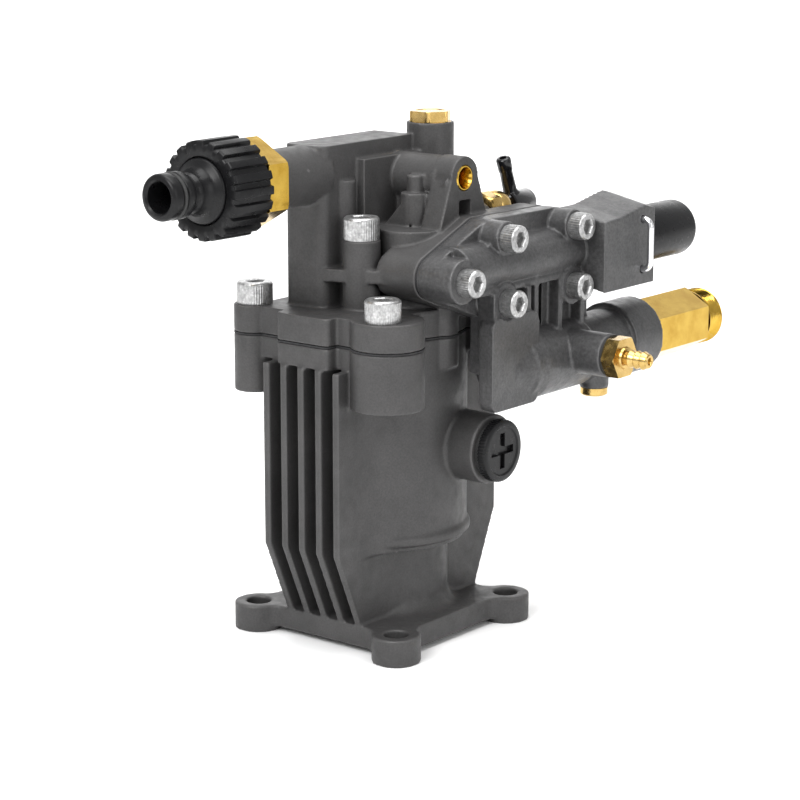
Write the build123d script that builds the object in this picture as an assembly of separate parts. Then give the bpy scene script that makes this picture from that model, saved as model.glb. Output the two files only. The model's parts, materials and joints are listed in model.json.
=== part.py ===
"""Three-piston axial-cam pressure washer pump, hollow-shaft, bolted to an engine flange.

Frame: origin at the centre of the mounting flange's bottom face, on the drive shaft's axis.
+Z runs up the shaft towards the pump head. -Y is the inlet side, +Y the outlet side, and
+X is the side of the manifold screws, the injector and the oil plug. Millimetres.
"""
from build123d import *
import os
from math import cos, pi, radians, sin, sqrt

# ---------------------------------------------------------------- driving dimensions
# engine flange: four holes on a 92.1 mm circle, 45 degrees off the axes
BOLT_CIRCLE = 92.1
BOLT_OFFSET = BOLT_CIRCLE / 2 * sin(radians(45))
FLANGE_BOLTS = [(x, y) for x in (-BOLT_OFFSET, BOLT_OFFSET) for y in (-BOLT_OFFSET, BOLT_OFFSET)]
FLANGE_HOLE_R = 4.5
EAR_R = 8.8
EAR_BLEND = 6.0
FLANGE_T = 10.0
FLANGE_HALF = 34.0
FLANGE_CORNER = 4.0
FLANGE_RELIEF = 2.0

# crankcase barrel
NECK_R = 24.0
NECK_TOP = 35.0
BAND_R = 30.0
BARREL_R = 31.0
BARREL_Z = 39.0
CAVITY_R = 27.5
DECK_Z = 112.0
DECK_T = 8.0
DECK_BOLTS = ((-29.5, -36.0), (-29.5, 36.0), (29.5, -36.0), (13.0, 41.0))
DECK_BOSS_R = 7.6
DECK_BOSS_Z = 91.0
CORNER_BOSS = (27.5, -31.0)
CORNER_BOSS_R = 13.0
DECK_CORNER_R = 6.0
PAD_CORNER_R = 2.0
BOLT_HOLE_DEPTH = 18.0
DECK_HALF_X = 28.0
DECK_HALF_Y = 40.0
PAD_HALF_X = 12.0
PAD_Y = 45.0
SIDE_BOSS_X = 26.0
SIDE_BOSS_R = 7.0
SIDE_BOSS_Z = 101.0

# cooling fins, five a side
FIN_COUNT = 5
FIN_PITCH = 8.0
FIN_T = 2.8
FIN_Y = 46.0
FIN_FOOT_Y = 34.0
FIN_KNEE_Z = 38.0
FIN_ROOT_Y = 17.0
FIN_BLEND_R = 26.0

# oil filler plug
PLUG_Y = 10.0
PLUG_Z = 70.7
PLUG_BOSS_R = 12.7
PLUG_BOSS_X = 42.8
PLUG_HEAD_R = 11.4
PLUG_HEAD_T = 3.7
PLUG_WASHER_T = 1.2
PLUG_THREAD_R = 8.0
PLUG_SLOT_HALF = 1.4
PLUG_SLOT_REACH = 6.5
PLUG_SLOT_DEPTH = 2.0

# drive shaft, swash plate and thrust bearing
SHAFT_R = 15.0
SHAFT_BORE_R = 9.525
SHAFT_Z = 3.0
SHAFT_BORE_TOP = 56.0
KEY_W = 4.76
KEY_TOP_R = 11.8
SEAL_R = 21.0
SEAL_Z = 10.0
SEAL_T = 7.0
NECK_BORE_R = 18.0
BEARING_Z = 40.0
BEARING_T = 13.0
BEARING_PITCH_R = 21.25
BEARING_BALL_R = 2.8
BEARING_RACE_T = 3.2
BEARING_BALLS = 11
BALL_GAP = 0.1
HUB_R = 17.5
SWASH_Z = 63.0
SWASH_TILT = 12.0
SWASH_R = 24.0
SWASH_T = 6.0
RACE_T = 1.5
THRUST_BALL_R = 2.0
THRUST_GAP = 0.25
THRUST_PITCH_R = 18.5
THRUST_BALLS = 16
THRUST_CAGE_HALF = 3.0
THRUST_CAGE_T = 2.0
WOBBLE_T = 2.5

# pistons
PISTON_COUNT = 3
PISTON_R = 7.0
PISTON_CIRCLE_R = 16.0
PISTON_FIRST_DEG = -9.0
PISTON_Z = 79.6
PISTON_TOP = 123.0
RUN_GAP = 0.05
RETAINER_R = 9.6
RETAINER_Z = 80.6
RETAINER_T = 2.0
GUIDE_Z = 98.0
SPRING_WIRE_R = 0.8
SPRING_R = 8.6
SPRING_TURNS = 4
VALVE_SPRING_TURNS = 4
INLET_SPRING = (3.6, 0.4)
OUTLET_SPRING = (3.4, 0.4)
INJ_SPRING = (1.6, 0.25)
UNL_SPRING = (3.9, 0.6)
UNL_SPRING_TURNS = 7
PACKING_R = 10.4
OIL_SEAL_Z = 106.0

# pump head
GASKET_T = 0.6
HEAD_Z = DECK_Z + GASKET_T
HEAD_DECK_Z = 122.5
HEAD_TOP_Z = 150.0
HEAD_WALL_R = 12.0
CHAMBER_R = 8.0
PACKING_TOP = 119.0
CHAMBER_TOP = 134.0
VALVE_R = 7.0
VALVE_TOP = 146.0
VALVE_SEAT_T = 3.0
POPPET_T = 2.0
CAGE_T = 1.5
INLET_SEAT_BORE_R = 3.5
INLET_CAGE_BORE_R = 2.5
INLET_POPPET_R = 5.0
OUTLET_SEAT_BORE_R = 3.0
OUTLET_CAGE_BORE_R = 2.2
OUTLET_POPPET_R = 4.5
M8_HEAD_R = 6.5
M8_HEAD_H = 8.0
M8_R = 4.0
M8_KEY_AF = 6.0
DECK_BOLT_L = 26.0
CENTRE_BOLT_L = 45.0
CENTRE_BOLT = (7.7, -21.0)
CENTRE_BOLT_Z = 147.3
CENTRE_BOSS_R = 6.7
SHELF_Z = (132.5, 137.0)
SHELF_OUTLINE = ((-2.5, -30.0), (0.0, -30.0), (18.0, -23.4), (33.2, -21.0), (33.2, -6.0), (-2.5, -6.0))

# inlet tower, galleries and lug of the head
TOWER_X = (-20.0, -1.5)
TOWER_Y = -31.0
TOWER_TOP = 180.0
TOWER_BACK = 20.0
TOWER_FOOT_Y = -12.0
TOWER_CORNER_R = 3.5
TOWER_WAIST_Z = 156.0
SHOULDER_X = 2.0
SHOULDER_Y = -12.5
SHOULDER_TOP = 174.0
INLET_X = -10.5
INLET_Z = 169.5
INLET_BOSS_R = 10.6
INLET_BOSS_Y = -54.5
INLET_PORT_R = 8.6
INLET_PORT_Y = -38.0
INLET_PASSAGE_Y = 18.0
FEED_R = 3.0
FEED_Z = 166.5
CORNER_POST = (-3.3, -17.6)
CORNER_POST_R = 4.3
CORNER_POST_TOP = 167.0
CAP_TOWER = (0.0, 28.0)
CAP_TOWER_R = 8.7
CAP_TOWER_TOP = 184.0
CAP_AF = 14.0
CAP_T = 4.0
CAP_PLUG_R = 5.9
CAP_PLUG_L = 12.0
LUG_Y = 11.0
LUG_Z = 167.3
LUG_R = 7.8
LUG_X = (20.0, 29.0)
LUG_FOOT_HALF = 15.0
LUG_WALL = 3.0
LUG_WINDOW_HALF = 3.5
LUG_FOOT_Z = 148.0
GALLERY_R = 8.4
GALLERY_START_X = -16.0
GALLERY_WEB_HALF = 5.0
GALLERY_BORE_R = 2.6
POST_BORE_R = 2.2
BEND_BORE_R = 2.0
LUG_POST = (14.0, 1.5)
LUG_POST_R = 5.2
LUG_POST_TOP = 162.0
LUG_PIN_R = 3.0
LUG_PIN_TOP = 168.3
RIB_T = 2.4
RIB_RUN = 10.0
INSERT_R = 4.6
INSERT_BORE_R = 2.5
INSERT_L = 8.0

# manifold joint plane and its five M6 screws: (y, z, boss radius)
JOINT_X = 33.2
JOINT_GASKET_T = 0.8
MANIFOLD_X = JOINT_X + JOINT_GASKET_T
SCREW_SEAT_X = 49.0
SCREWS = ((-15.4, 135.6, 8.0), (9.4, 148.0, 6.0), (50.7, 147.5, 6.0), (50.4, 125.4, 7.0), (9.3, 125.0, 7.0))
M6_HEAD_R = 5.0
M6_HEAD_H = 6.0
M6_R = 3.0
M6_KEY_AF = 5.0
M6_TIP_X = 22.5

# outlet valves (y, z) and the block that carries them
OUTLET_VALVES = ((-3.0, 136.5), (19.5, 136.5), (38.0, 136.5))
OUTLET_VALVE_R = 6.0
OUTLET_SEAT_X = 26.0
OUTLET_CAGE_X = 38.0
BLOCK_ROOT_X = 16.0
BLOCK_WINDOW_X = 24.0
BLOCK_WINDOW_Z = (118.0, 156.0)
BLOCK_WINDOW_END_Y = 60.0
PAD_BLOCK_Y = (-12.0, 26.0)
PAD_BLOCK_Z = 126.0
DUCT_R = 4.2
DUCT_BORE_R = 2.4

# outlet side
MANIFOLD_PLATE_T = 7.0
BULGE_R = 9.0
BULGE_Y = -12.0
BULGE_BORE_R = 4.5
BULGE_BORE_Y = (-6.0, 62.0)
BRACE_OUTLINE = ((-13.0, 130.0), (5.0, 148.0), (5.0, 130.0))
CROSS_BORE_R = 4.0
CROSS_BORE_Y = 36.0
WALL_X = (44.0, 50.0)
WALL_Y = (0.0, 28.0)
WALL_TOP = 120.0
WALL_CORNER_R = 4.0
WEB_X = (37.0, 43.0)
WEB_Y = (4.0, 68.0)
WEB_TOP = 128.0
WEB_RIB_Y = (29.0, 44.0, 58.0)
WEB_RIB_TOP = 132.0
OUT_X = 41.0
OUT_Z = 98.6
OUT_GALLERY_R = 12.5
OUT_GALLERY_Y = (24.0, 85.0)
COLLAR_R = 14.5
COLLAR_Y = 102.0
OUT_AF = 22.0
OUT_HEX_Y = 142.4
OUT_THREAD_R = 11.0
OUT_THREAD_Y = 151.0
OUT_BORE_R = 6.0
OUT_STUB_R = 9.0
OUT_STUB_Y = 88.0
DRAIN = (45.0, 70.8)
DRAIN_Z = 83.6
DRAIN_R = 3.55
DRAIN_HEAD_R = 5.2
DRAIN_BOSS_R = 5.5

# chemical injector
INJ_Y = 50.0
INJ_Z = 101.5
INJ_BOSS_R = 8.0
INJ_SEAT_X = 67.0
INJ_FEED_R = 2.0
INJ_AF = 14.0
INJ_HEX_T = 5.5
INJ_TIP_X = 83.1
INJ_BARB_R = 3.4
INJ_CORE_R = 2.6
INJ_BORE_R = 1.2
INJ_STUB_R = 6.3
INJ_STUB_L = 12.0
INJ_RING_T = 0.8
INJ_BALL_R = 2.2
INJ_BALL_X = 62.3

# unloader
UNL_X = 44.0
UNL_Z = 137.6
UNL_BLOCK_X = (38.0, 58.0)
UNL_BLOCK_Y = (57.0, 90.0)
UNL_BLOCK_Z = (122.5, 150.5)
UNL_BLOCK_RISE = 4.0
UNL_SLEEVE_R = 9.8
UNL_SLEEVE_Y = 64.0
UNL_NECK_R = 7.5
UNL_NECK_Y = 108.0
UNL_BORE_R = 5.2
KNOB_R = 10.75
KNOB_Y = (92.5, 126.5)
KNOB_DOME = 3.0
CLIP_R = 1.2
CLIP_Y = 82.0
CLIP_LEG = 9.4
CLIP_X = (38.0, 61.5)
STEM_DISC_Y = 76.0
STEM_R = 3.0
ADJUSTER_Y = 97.0
ADJUSTER_L = 6.0
SPINDLE_R = 2.5

# inlet fittings, all on the inlet axis, running towards -Y
NIP_HEX_AF = 27.7
NIP_HEX_T = 10.0
ADAPTER_THREAD_R = 12.9
ADAPTER_THREAD_L = 10.5
ADAPTER_BORE_R = 7.0
NUT_R = 17.3
NUT_LENGTH = 18.5
NUT_BORE_R = 13.2
NUT_LIP_R = 11.6
NUT_LIP_T = 4.0
NUT_RIBS = 20
NUT_RIB_R = 1.5
NUT_RIB_H = 1.2
HEX_FRONT_Y = INLET_BOSS_Y - NIP_HEX_T
NUT_BACK_Y = HEX_FRONT_Y - 0.8
NUT_FRONT_Y = NUT_BACK_Y - NUT_LENGTH
LIP_Y = NUT_FRONT_Y + NUT_LIP_T
WASHER_T = 2.0
NIPPLE_FLANGE_R = 12.9
NIPPLE_FLANGE_T = 2.4
NIPPLE_FRONT_Y = NUT_FRONT_Y - 0.5
GROOVE_R = 6.6
NIPPLE_TIP_Y = -104.0
NIPPLE_R = 8.0
NIPPLE_BORE_R = 5.4
SIGHT_GAP = 0.3
EXTRA = 1.0

# thermal relief valve behind the lug
RELIEF_X = 15.0
RELIEF_Z = 151.5
RELIEF_Y = 40.0
RELIEF_STUB_R = 4.2
RELIEF_STUB_Z = 148.5
RELIEF_STUB_L = 15.0
RELIEF_BOSS_R = 6.5
RELIEF_TIP_R = 2.6
RELIEF_TIP_L = 26.0
RELIEF_BODY_R = 5.6
RELIEF_BODY_L = 10.0
RELIEF_BALL_R = 6.4
RELIEF_BALL_L = 8.0
ELBOW_R = 5.0
ELBOW_LEAN = 20.0
ELBOW_TUBE_R = 2.8
ELBOW_TUBE_L = 19.0
ELBOW_L = 13.0
ELBOW_START = 15.0
ELBOW_TUBE_START = 19.0
ELBOW_BORE_L = 11.5


# ---------------------------------------------------------------- shape helpers
def rod(radius, z0, z1, x=0.0, y=0.0):
    """Cylinder along Z."""
    return Pos(x, y, (z0 + z1) / 2) * Cylinder(radius, z1 - z0)


def rod_x(radius, x0, x1, y, z):
    """Cylinder along X."""
    return Pos((x0 + x1) / 2, y, z) * Rot(0, 90, 0) * Cylinder(radius, x1 - x0)


def rod_y(radius, y0, y1, x, z):
    """Cylinder along Y."""
    return Pos(x, (y0 + y1) / 2, z) * Rot(90, 0, 0) * Cylinder(radius, y1 - y0)


def block(x0, x1, y0, y1, z0, z1):
    """Box given by its faces."""
    return Pos((x0 + x1) / 2, (y0 + y1) / 2, (z0 + z1) / 2) * Box(x1 - x0, y1 - y0, z1 - z0)


def drill(start, end, radius):
    """Cylinder between two points, for a slanting passage."""
    way = Vector(*end) - Vector(*start)
    plane = Plane(origin=Vector(*start), z_dir=way.normalized())
    return extrude(plane * Circle(radius), way.length)


def hexagon(across_flats, length):
    """Hexagonal bar along local Z, centred on its axis, starting at z = 0."""
    return extrude(RegularPolygon(across_flats / 2, 6, major_radius=False), length)


def along_y(shape, x, y, z):
    """Carry a shape drawn along local +Z to point along -Y from (x, y, z)."""
    return Pos(x, y, z) * Rot(90, 0, 0) * shape


def along_x(shape, x, y, z):
    """Carry a shape drawn along local +Z to point along +X from (x, y, z)."""
    return Pos(x, y, z) * Rot(0, 90, 0) * shape


def ring(outer, inner, z0, z1, x=0.0, y=0.0):
    """Plain washer or bush along Z."""
    return rod(outer, z0, z1, x, y) - rod(inner, z0 - 1, z1 + 1, x, y)


def plate_yz(points, x0, x1):
    """Plate with an outline of (y, z) points between two X planes."""
    face = make_face(Polyline(*points, close=True))
    return extrude(Plane.YZ.offset(x0) * face, x1 - x0)


def plate_xz(points, y0, y1):
    """Plate with an outline of (x, z) points between two Y planes."""
    face = make_face(Polyline(*points, close=True))
    return extrude(Plane.XZ.offset(-y1) * face, y1 - y0)


def coil(radius, wire, length, turns):
    """Round-wire spring along local Z with its ends inside the length."""
    rise = length - 2 * wire
    path = Helix(pitch=rise / turns, height=rise, radius=radius)
    section = Plane(origin=path @ 0, z_dir=path % 0) * Circle(wire)
    return Pos(0, 0, wire) * sweep(section, path)


def socket_screw(head_r, head_h, shank_r, length, key_af):
    """Socket head screw along local Z, head above z = 0, shank below it."""
    head = rod(head_r, 0, head_h)
    head = chamfer(head.edges().sort_by(Axis.Z)[-1], head_r * 0.1)
    key = Pos(0, 0, head_h * 0.45) * hexagon(key_af, head_h)
    return head + rod(shank_r, -length, 0) - key


def carve(body, cuts):
    """Take each cut out of the body in turn."""
    for cut in cuts:
        body -= cut
    return body


def save(node, shape):
    """Write one sub-part."""
    export_step(shape, f"parts/{node}.step")


def group(solids):
    """Separate solids that share one node."""
    return Compound(children=[item.solid() for item in solids])


def piston_places():
    """Axis of each piston as (x, y)."""
    step = 360 / PISTON_COUNT
    turns = [radians(PISTON_FIRST_DEG + step * index) for index in range(PISTON_COUNT)]
    return [(PISTON_CIRCLE_R * cos(turn), PISTON_CIRCLE_R * sin(turn)) for turn in turns]


PISTONS = piston_places()


def deck_outline(z0, z1):
    """Bolting face shared by crankcase and head."""
    deck = extrude(Pos(0, 0, z0) * RectangleRounded(2 * DECK_HALF_X, 2 * DECK_HALF_Y, DECK_CORNER_R), z1 - z0)
    deck += extrude(Pos(0, 0, z0) * RectangleRounded(2 * PAD_HALF_X, 2 * PAD_Y, PAD_CORNER_R), z1 - z0)
    deck += rod(BARREL_R, z0, z1)
    deck += rod(SIDE_BOSS_R, z0, z1, SIDE_BOSS_X, 0)
    deck += rod(CORNER_BOSS_R, z0, z1, *CORNER_BOSS)
    for x, y in DECK_BOLTS:
        deck += rod(DECK_BOSS_R, z0, z1, x, y)
    return deck


# ---------------------------------------------------------------- crankcase group
def flange():
    """Square engine flange whose ears blend into its sides, on four raised pads."""
    ears = [Pos(x, y) * Circle(EAR_R) for x, y in FLANGE_BOLTS]
    outline = Sketch() + [RectangleRounded(2 * FLANGE_HALF, 2 * FLANGE_HALF, FLANGE_CORNER)] + ears
    limit = FLANGE_HALF + RUN_GAP
    inner = [vertex for vertex in outline.vertices() if max(abs(vertex.X), abs(vertex.Y)) < limit]
    outline = fillet(inner, EAR_BLEND)
    plate = extrude(Pos(0, 0, FLANGE_RELIEF) * outline, FLANGE_T - FLANGE_RELIEF)
    return Part() + [plate] + [rod(EAR_R, 0, FLANGE_T, x, y) for x, y in FLANGE_BOLTS]


def crankcase():
    """Finned barrel with the engine flange below and the head deck above."""
    body = flange() + rod(NECK_R, 0, NECK_TOP)
    body += rod(BAND_R, NECK_TOP, BARREL_Z)
    body += rod(BARREL_R, BARREL_Z, DECK_Z)
    body += deck_outline(DECK_Z - DECK_T, DECK_Z)
    body += rod(SIDE_BOSS_R, SIDE_BOSS_Z, DECK_Z, SIDE_BOSS_X, 0)
    body += rod(CORNER_BOSS_R, DECK_BOSS_Z, DECK_Z, *CORNER_BOSS)
    for x, y in DECK_BOLTS:
        body += rod(DECK_BOSS_R, DECK_BOSS_Z, DECK_Z, x, y)
    body += fins(-1) + fins(1)
    body += fin_blend(NECK_R, FLANGE_T - EXTRA, NECK_TOP) + fin_blend(BARREL_R, NECK_TOP, DECK_Z)
    body += rod_x(PLUG_BOSS_R, CAVITY_R - 2, PLUG_BOSS_X, PLUG_Y, PLUG_Z)
    body -= rod(SEAL_R, -EXTRA, SEAL_Z + SEAL_T)
    body -= rod(NECK_BORE_R, 0, BEARING_Z + EXTRA)
    body -= rod(CAVITY_R, BEARING_Z, DECK_Z + EXTRA)
    body -= rod_x(PLUG_THREAD_R, CAVITY_R - 4, PLUG_BOSS_X + EXTRA, PLUG_Y, PLUG_Z)
    for x, y in FLANGE_BOLTS:
        body -= rod(FLANGE_HOLE_R, -EXTRA, FLANGE_T + EXTRA, x, y)
    for x, y in DECK_BOLTS:
        body -= rod(M8_R + RUN_GAP, DECK_Z - BOLT_HOLE_DEPTH, DECK_Z + EXTRA, x, y)
    return body


def fin_blend(radius, z0, z1):
    """Concave web that blends a round section into the face of the last fin on the inlet side."""
    face_x = (FIN_COUNT - 1) / 2 * FIN_PITCH + FIN_T / 2
    reach = radius + FIN_BLEND_R
    centre_x = face_x + FIN_BLEND_R
    centre_y = -sqrt(reach**2 - centre_x**2)
    touch = (centre_x * radius / reach, centre_y * radius / reach)
    inside = face_x - FIN_T / 2
    outline = ((inside, centre_y), (centre_x, centre_y), touch, (inside, touch[1]))
    corner = make_face(Polyline(*outline, close=True))
    web = corner - Pos(centre_x, centre_y) * Circle(FIN_BLEND_R)
    return extrude(Pos(0, 0, z0) * web, z1 - z0)


def fins(side):
    """Five upright cooling fins on one side of the barrel."""
    outline = ((side * FIN_ROOT_Y, FLANGE_T), (side * FIN_FOOT_Y, FLANGE_T), (side * FIN_Y, FIN_KNEE_Z),
               (side * FIN_Y, DECK_Z - DECK_T), (side * FIN_ROOT_Y, DECK_Z - DECK_T))
    middle = (FIN_COUNT - 1) / 2
    centres = [(index - middle) * FIN_PITCH for index in range(FIN_COUNT)]
    row = [plate_yz(outline, x - FIN_T / 2, x + FIN_T / 2) for x in centres]
    return Part() + row


def oil_plug():
    """Screw-in filler plug with a cross slot."""
    seat = PLUG_BOSS_X + PLUG_WASHER_T
    face = seat + PLUG_HEAD_T
    plug = rod_x(PLUG_HEAD_R, seat, face, PLUG_Y, PLUG_Z)
    plug += rod_x(PLUG_THREAD_R - RUN_GAP, CAVITY_R + 3, seat, PLUG_Y, PLUG_Z)
    for across, up in ((PLUG_SLOT_HALF, PLUG_SLOT_REACH), (PLUG_SLOT_REACH, PLUG_SLOT_HALF)):
        slot = (PLUG_Y - across, PLUG_Y + across, PLUG_Z - up, PLUG_Z + up)
        plug -= block(face - PLUG_SLOT_DEPTH, face + EXTRA, *slot)
    return plug


def oil_plug_washer():
    """Flat rubber washer under the plug's head."""
    outer = rod_x(PLUG_HEAD_R - 1, PLUG_BOSS_X, PLUG_BOSS_X + PLUG_WASHER_T, PLUG_Y, PLUG_Z)
    hole_end = PLUG_BOSS_X + PLUG_WASHER_T + EXTRA
    return outer - rod_x(PLUG_THREAD_R + RUN_GAP, PLUG_BOSS_X - EXTRA, hole_end, PLUG_Y, PLUG_Z)


# ---------------------------------------------------------------- drive group
def tilted(shape):
    """Carry a shape from the swash plate's own frame into place."""
    return Pos(0, 0, SWASH_Z) * Rot(0, SWASH_TILT, 0) * shape


def drive_shaft():
    """Hollow keyed shaft with the tilted swash plate on its end."""
    shaft = rod(SHAFT_R, SHAFT_Z, BEARING_Z + BEARING_T)
    shaft += rod(HUB_R, BEARING_Z + BEARING_T, SWASH_Z - SWASH_T / 2)
    shaft += tilted(rod(SWASH_R, -SWASH_T / 2, SWASH_T / 2))
    shaft -= rod(SHAFT_BORE_R, SHAFT_Z - EXTRA, SHAFT_BORE_TOP)
    shaft -= block(0, KEY_TOP_R, -KEY_W / 2, KEY_W / 2, SHAFT_Z - EXTRA, SHAFT_BORE_TOP)
    return shaft


def ball_places(pitch_r, count):
    """Evenly spaced places round local Z at z = 0."""
    turns = [2 * pi * index / count for index in range(count)]
    return [Pos(pitch_r * cos(turn), pitch_r * sin(turn), 0) for turn in turns]


def caged_balls(cage, ball_r, places):
    """Cage with a pocket round each ball, then the balls."""
    for place in places:
        cage -= place * Sphere(ball_r + BALL_GAP)
    return [cage] + [place * Sphere(ball_r) for place in places]


def bearing_balls():
    """Balls of the shaft bearing in a crown cage, which is joined above them."""
    half = BEARING_BALL_R / 2
    crown = ring(BEARING_PITCH_R + half, BEARING_PITCH_R - half, half, BEARING_BALL_R + 1)
    return caged_balls(crown, BEARING_BALL_R, ball_places(BEARING_PITCH_R, BEARING_BALLS))


def thrust_balls():
    """Balls of the thrust bearing in a flat cage."""
    outer, inner = THRUST_PITCH_R + THRUST_CAGE_HALF, THRUST_PITCH_R - THRUST_CAGE_HALF
    flat = ring(outer, inner, -THRUST_CAGE_T / 2, THRUST_CAGE_T / 2)
    return caged_balls(flat, THRUST_BALL_R, ball_places(THRUST_PITCH_R, THRUST_BALLS))


def thrust_heights():
    """Heights of the thrust bearing's layers above the swash plate's middle."""
    lower = SWASH_T / 2
    balls = lower + RACE_T + THRUST_GAP + THRUST_BALL_R
    upper = balls + THRUST_BALL_R + THRUST_GAP
    return lower, balls, upper


# ---------------------------------------------------------------- pistons and packings
def piston_guide():
    """Guide block between crankcase and head with a bore for each piston."""
    guide = rod(CAVITY_R - RUN_GAP, GUIDE_Z, HEAD_Z)
    for x, y in PISTONS:
        guide -= rod(PISTON_R + RUN_GAP, GUIDE_Z - EXTRA, HEAD_Z + EXTRA, x, y)
        guide -= rod(PACKING_R, OIL_SEAL_Z, HEAD_Z + EXTRA, x, y)
    guide -= rod(M8_R + RUN_GAP, GUIDE_Z - EXTRA, HEAD_Z + EXTRA, *CENTRE_BOLT)
    return guide


def piston_packings():
    """Oil seal in the guide and water seal in the head, round each piston."""
    layers = ((OIL_SEAL_Z, HEAD_Z), (HEAD_Z, PACKING_TOP))
    return group([ring(PACKING_R, PISTON_R + RUN_GAP, *layer, x, y) for x, y in PISTONS for layer in layers])


# ---------------------------------------------------------------- pump head
def joint_outline(x0, x1, trim=0.0):
    """Face shape shared by the head's valve block, the gasket and the manifold."""
    circles = [Pos(y, z) * Circle(radius - trim) for y, z, radius in SCREWS]
    edges = [edge for circle in circles for edge in circle.edges()]
    return extrude(Plane.YZ.offset(x0) * make_hull(edges), x1 - x0)


def pump_head():
    """Head casting: deck, valve block, inlet tower, galleries and lug."""
    head = deck_outline(HEAD_Z, HEAD_DECK_Z)
    head += piston_walls()
    head += inlet_tower()
    head += centre_boss()
    head += valve_block()
    head += lug()
    head += rod(CAP_TOWER_R, HEAD_DECK_Z, CAP_TOWER_TOP, *CAP_TOWER)
    head += rod(CORNER_POST_R, HEAD_DECK_Z, CORNER_POST_TOP, *CORNER_POST)
    return carve(head, head_passages())


def piston_walls():
    """Columns round the pumping chambers."""
    walls = rod(HEAD_WALL_R, HEAD_DECK_Z - EXTRA, HEAD_TOP_Z)
    for x, y in PISTONS:
        walls += rod(HEAD_WALL_R, HEAD_DECK_Z - EXTRA, HEAD_TOP_Z, x, y)
    return walls


def inlet_tower():
    """Upright inlet block with a thicker shoulder at the rear, and its inlet boss."""
    tower = block(*TOWER_X, TOWER_Y, TOWER_FOOT_Y, HEAD_DECK_Z - EXTRA, TOWER_WAIST_Z + EXTRA)
    tower += block(*TOWER_X, TOWER_Y, TOWER_BACK, TOWER_WAIST_Z, TOWER_TOP)
    tower += block(*TOWER_X, TOWER_FOOT_Y, TOWER_BACK, HEAD_TOP_Z - EXTRA, TOWER_WAIST_Z)
    corners = tower.edges().filter_by(Axis.Z).filter_by_position(Axis.Y, TOWER_Y - 1, TOWER_Y + 1)
    tower = fillet(corners, TOWER_CORNER_R)
    shoulder = block(TOWER_X[0] + EXTRA, SHOULDER_X, SHOULDER_Y, TOWER_BACK - EXTRA, LUG_FOOT_Z, SHOULDER_TOP)
    return tower + shoulder + rod_y(INLET_BOSS_R, INLET_BOSS_Y, TOWER_Y + 5, INLET_X, INLET_Z)


def centre_boss():
    """Boss of the guide bolt, with the shelf that ties the tower to the valve block."""
    face = make_face(Polyline(*SHELF_OUTLINE, close=True))
    shelf = extrude(Pos(0, 0, SHELF_Z[0]) * face, SHELF_Z[1] - SHELF_Z[0])
    return rod(CENTRE_BOSS_R, HEAD_DECK_Z - EXTRA, CENTRE_BOLT_Z, *CENTRE_BOLT) + shelf


def valve_block():
    """Block that carries the outlet valves and the manifold's joint face, with the rear duct to it."""
    shell = joint_outline(BLOCK_ROOT_X, JOINT_X)
    window = block(BLOCK_ROOT_X - EXTRA, BLOCK_WINDOW_X, PAD_BLOCK_Y[1], BLOCK_WINDOW_END_Y, *BLOCK_WINDOW_Z)
    pad = block(0, BLOCK_ROOT_X + EXTRA, *PAD_BLOCK_Y, PAD_BLOCK_Z, HEAD_TOP_Z)
    valve_y, valve_z = OUTLET_VALVES[-1]
    duct = drill((*PISTONS[1], CHAMBER_TOP - 4), (OUTLET_SEAT_X, valve_y, valve_z), DUCT_R)
    boss = rod_y(RELIEF_BOSS_R, PAD_BLOCK_Y[1] - 6, RELIEF_Y - 2, RELIEF_X, RELIEF_STUB_Z)
    return shell - window + pad + duct + boss


def lug():
    """Arch-topped lug with its window, the gallery behind it, a stepped post and the ribs."""
    x0, x1 = LUG_X
    left, right = LUG_Y - LUG_R, LUG_Y + LUG_R
    foot_left, foot_right = LUG_Y - LUG_FOOT_HALF, LUG_Y + LUG_FOOT_HALF
    sides = ((left, LUG_Z), (foot_left, LUG_FOOT_Z), (foot_right, LUG_FOOT_Z), (right, LUG_Z))
    shape = plate_yz(sides, x0, x1) + rod_x(LUG_R, x0, x1, LUG_Y, LUG_Z)
    window = (LUG_Y - LUG_WINDOW_HALF, LUG_Y + LUG_WINDOW_HALF, HEAD_TOP_Z, LUG_Z - LUG_R)
    shape -= block(x0 + LUG_WALL, x1 + EXTRA, *window)
    shape += rod_x(GALLERY_R, GALLERY_START_X, x0 + EXTRA, LUG_Y, LUG_Z - 1)
    web = (LUG_Y - GALLERY_WEB_HALF, LUG_Y + GALLERY_WEB_HALF, LUG_FOOT_Z, LUG_Z)
    shape += block(GALLERY_START_X, x0 + EXTRA, *web)
    rib = ((x0 - RIB_RUN, LUG_FOOT_Z), (x1 - 2, LUG_FOOT_Z), (x1 - 2, LUG_Z))
    shape += plate_xz(rib, left - 1, left - 1 + RIB_T)
    post_x, post_y = LUG_POST
    shape += rod(LUG_POST_R, LUG_FOOT_Z, LUG_POST_TOP, *LUG_POST)
    shape += rod(LUG_PIN_R, LUG_POST_TOP, LUG_PIN_TOP, *LUG_POST)
    rib = ((post_x - RIB_RUN - 2, LUG_FOOT_Z), (post_x, LUG_FOOT_Z), (post_x, LUG_POST_TOP - 1))
    shape += plate_xz(rib, post_y - 3 - RIB_T, post_y - 3)
    return shape - rod_x(INSERT_R, x1 - INSERT_L, x1 + EXTRA, LUG_Y, LUG_Z)


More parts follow.
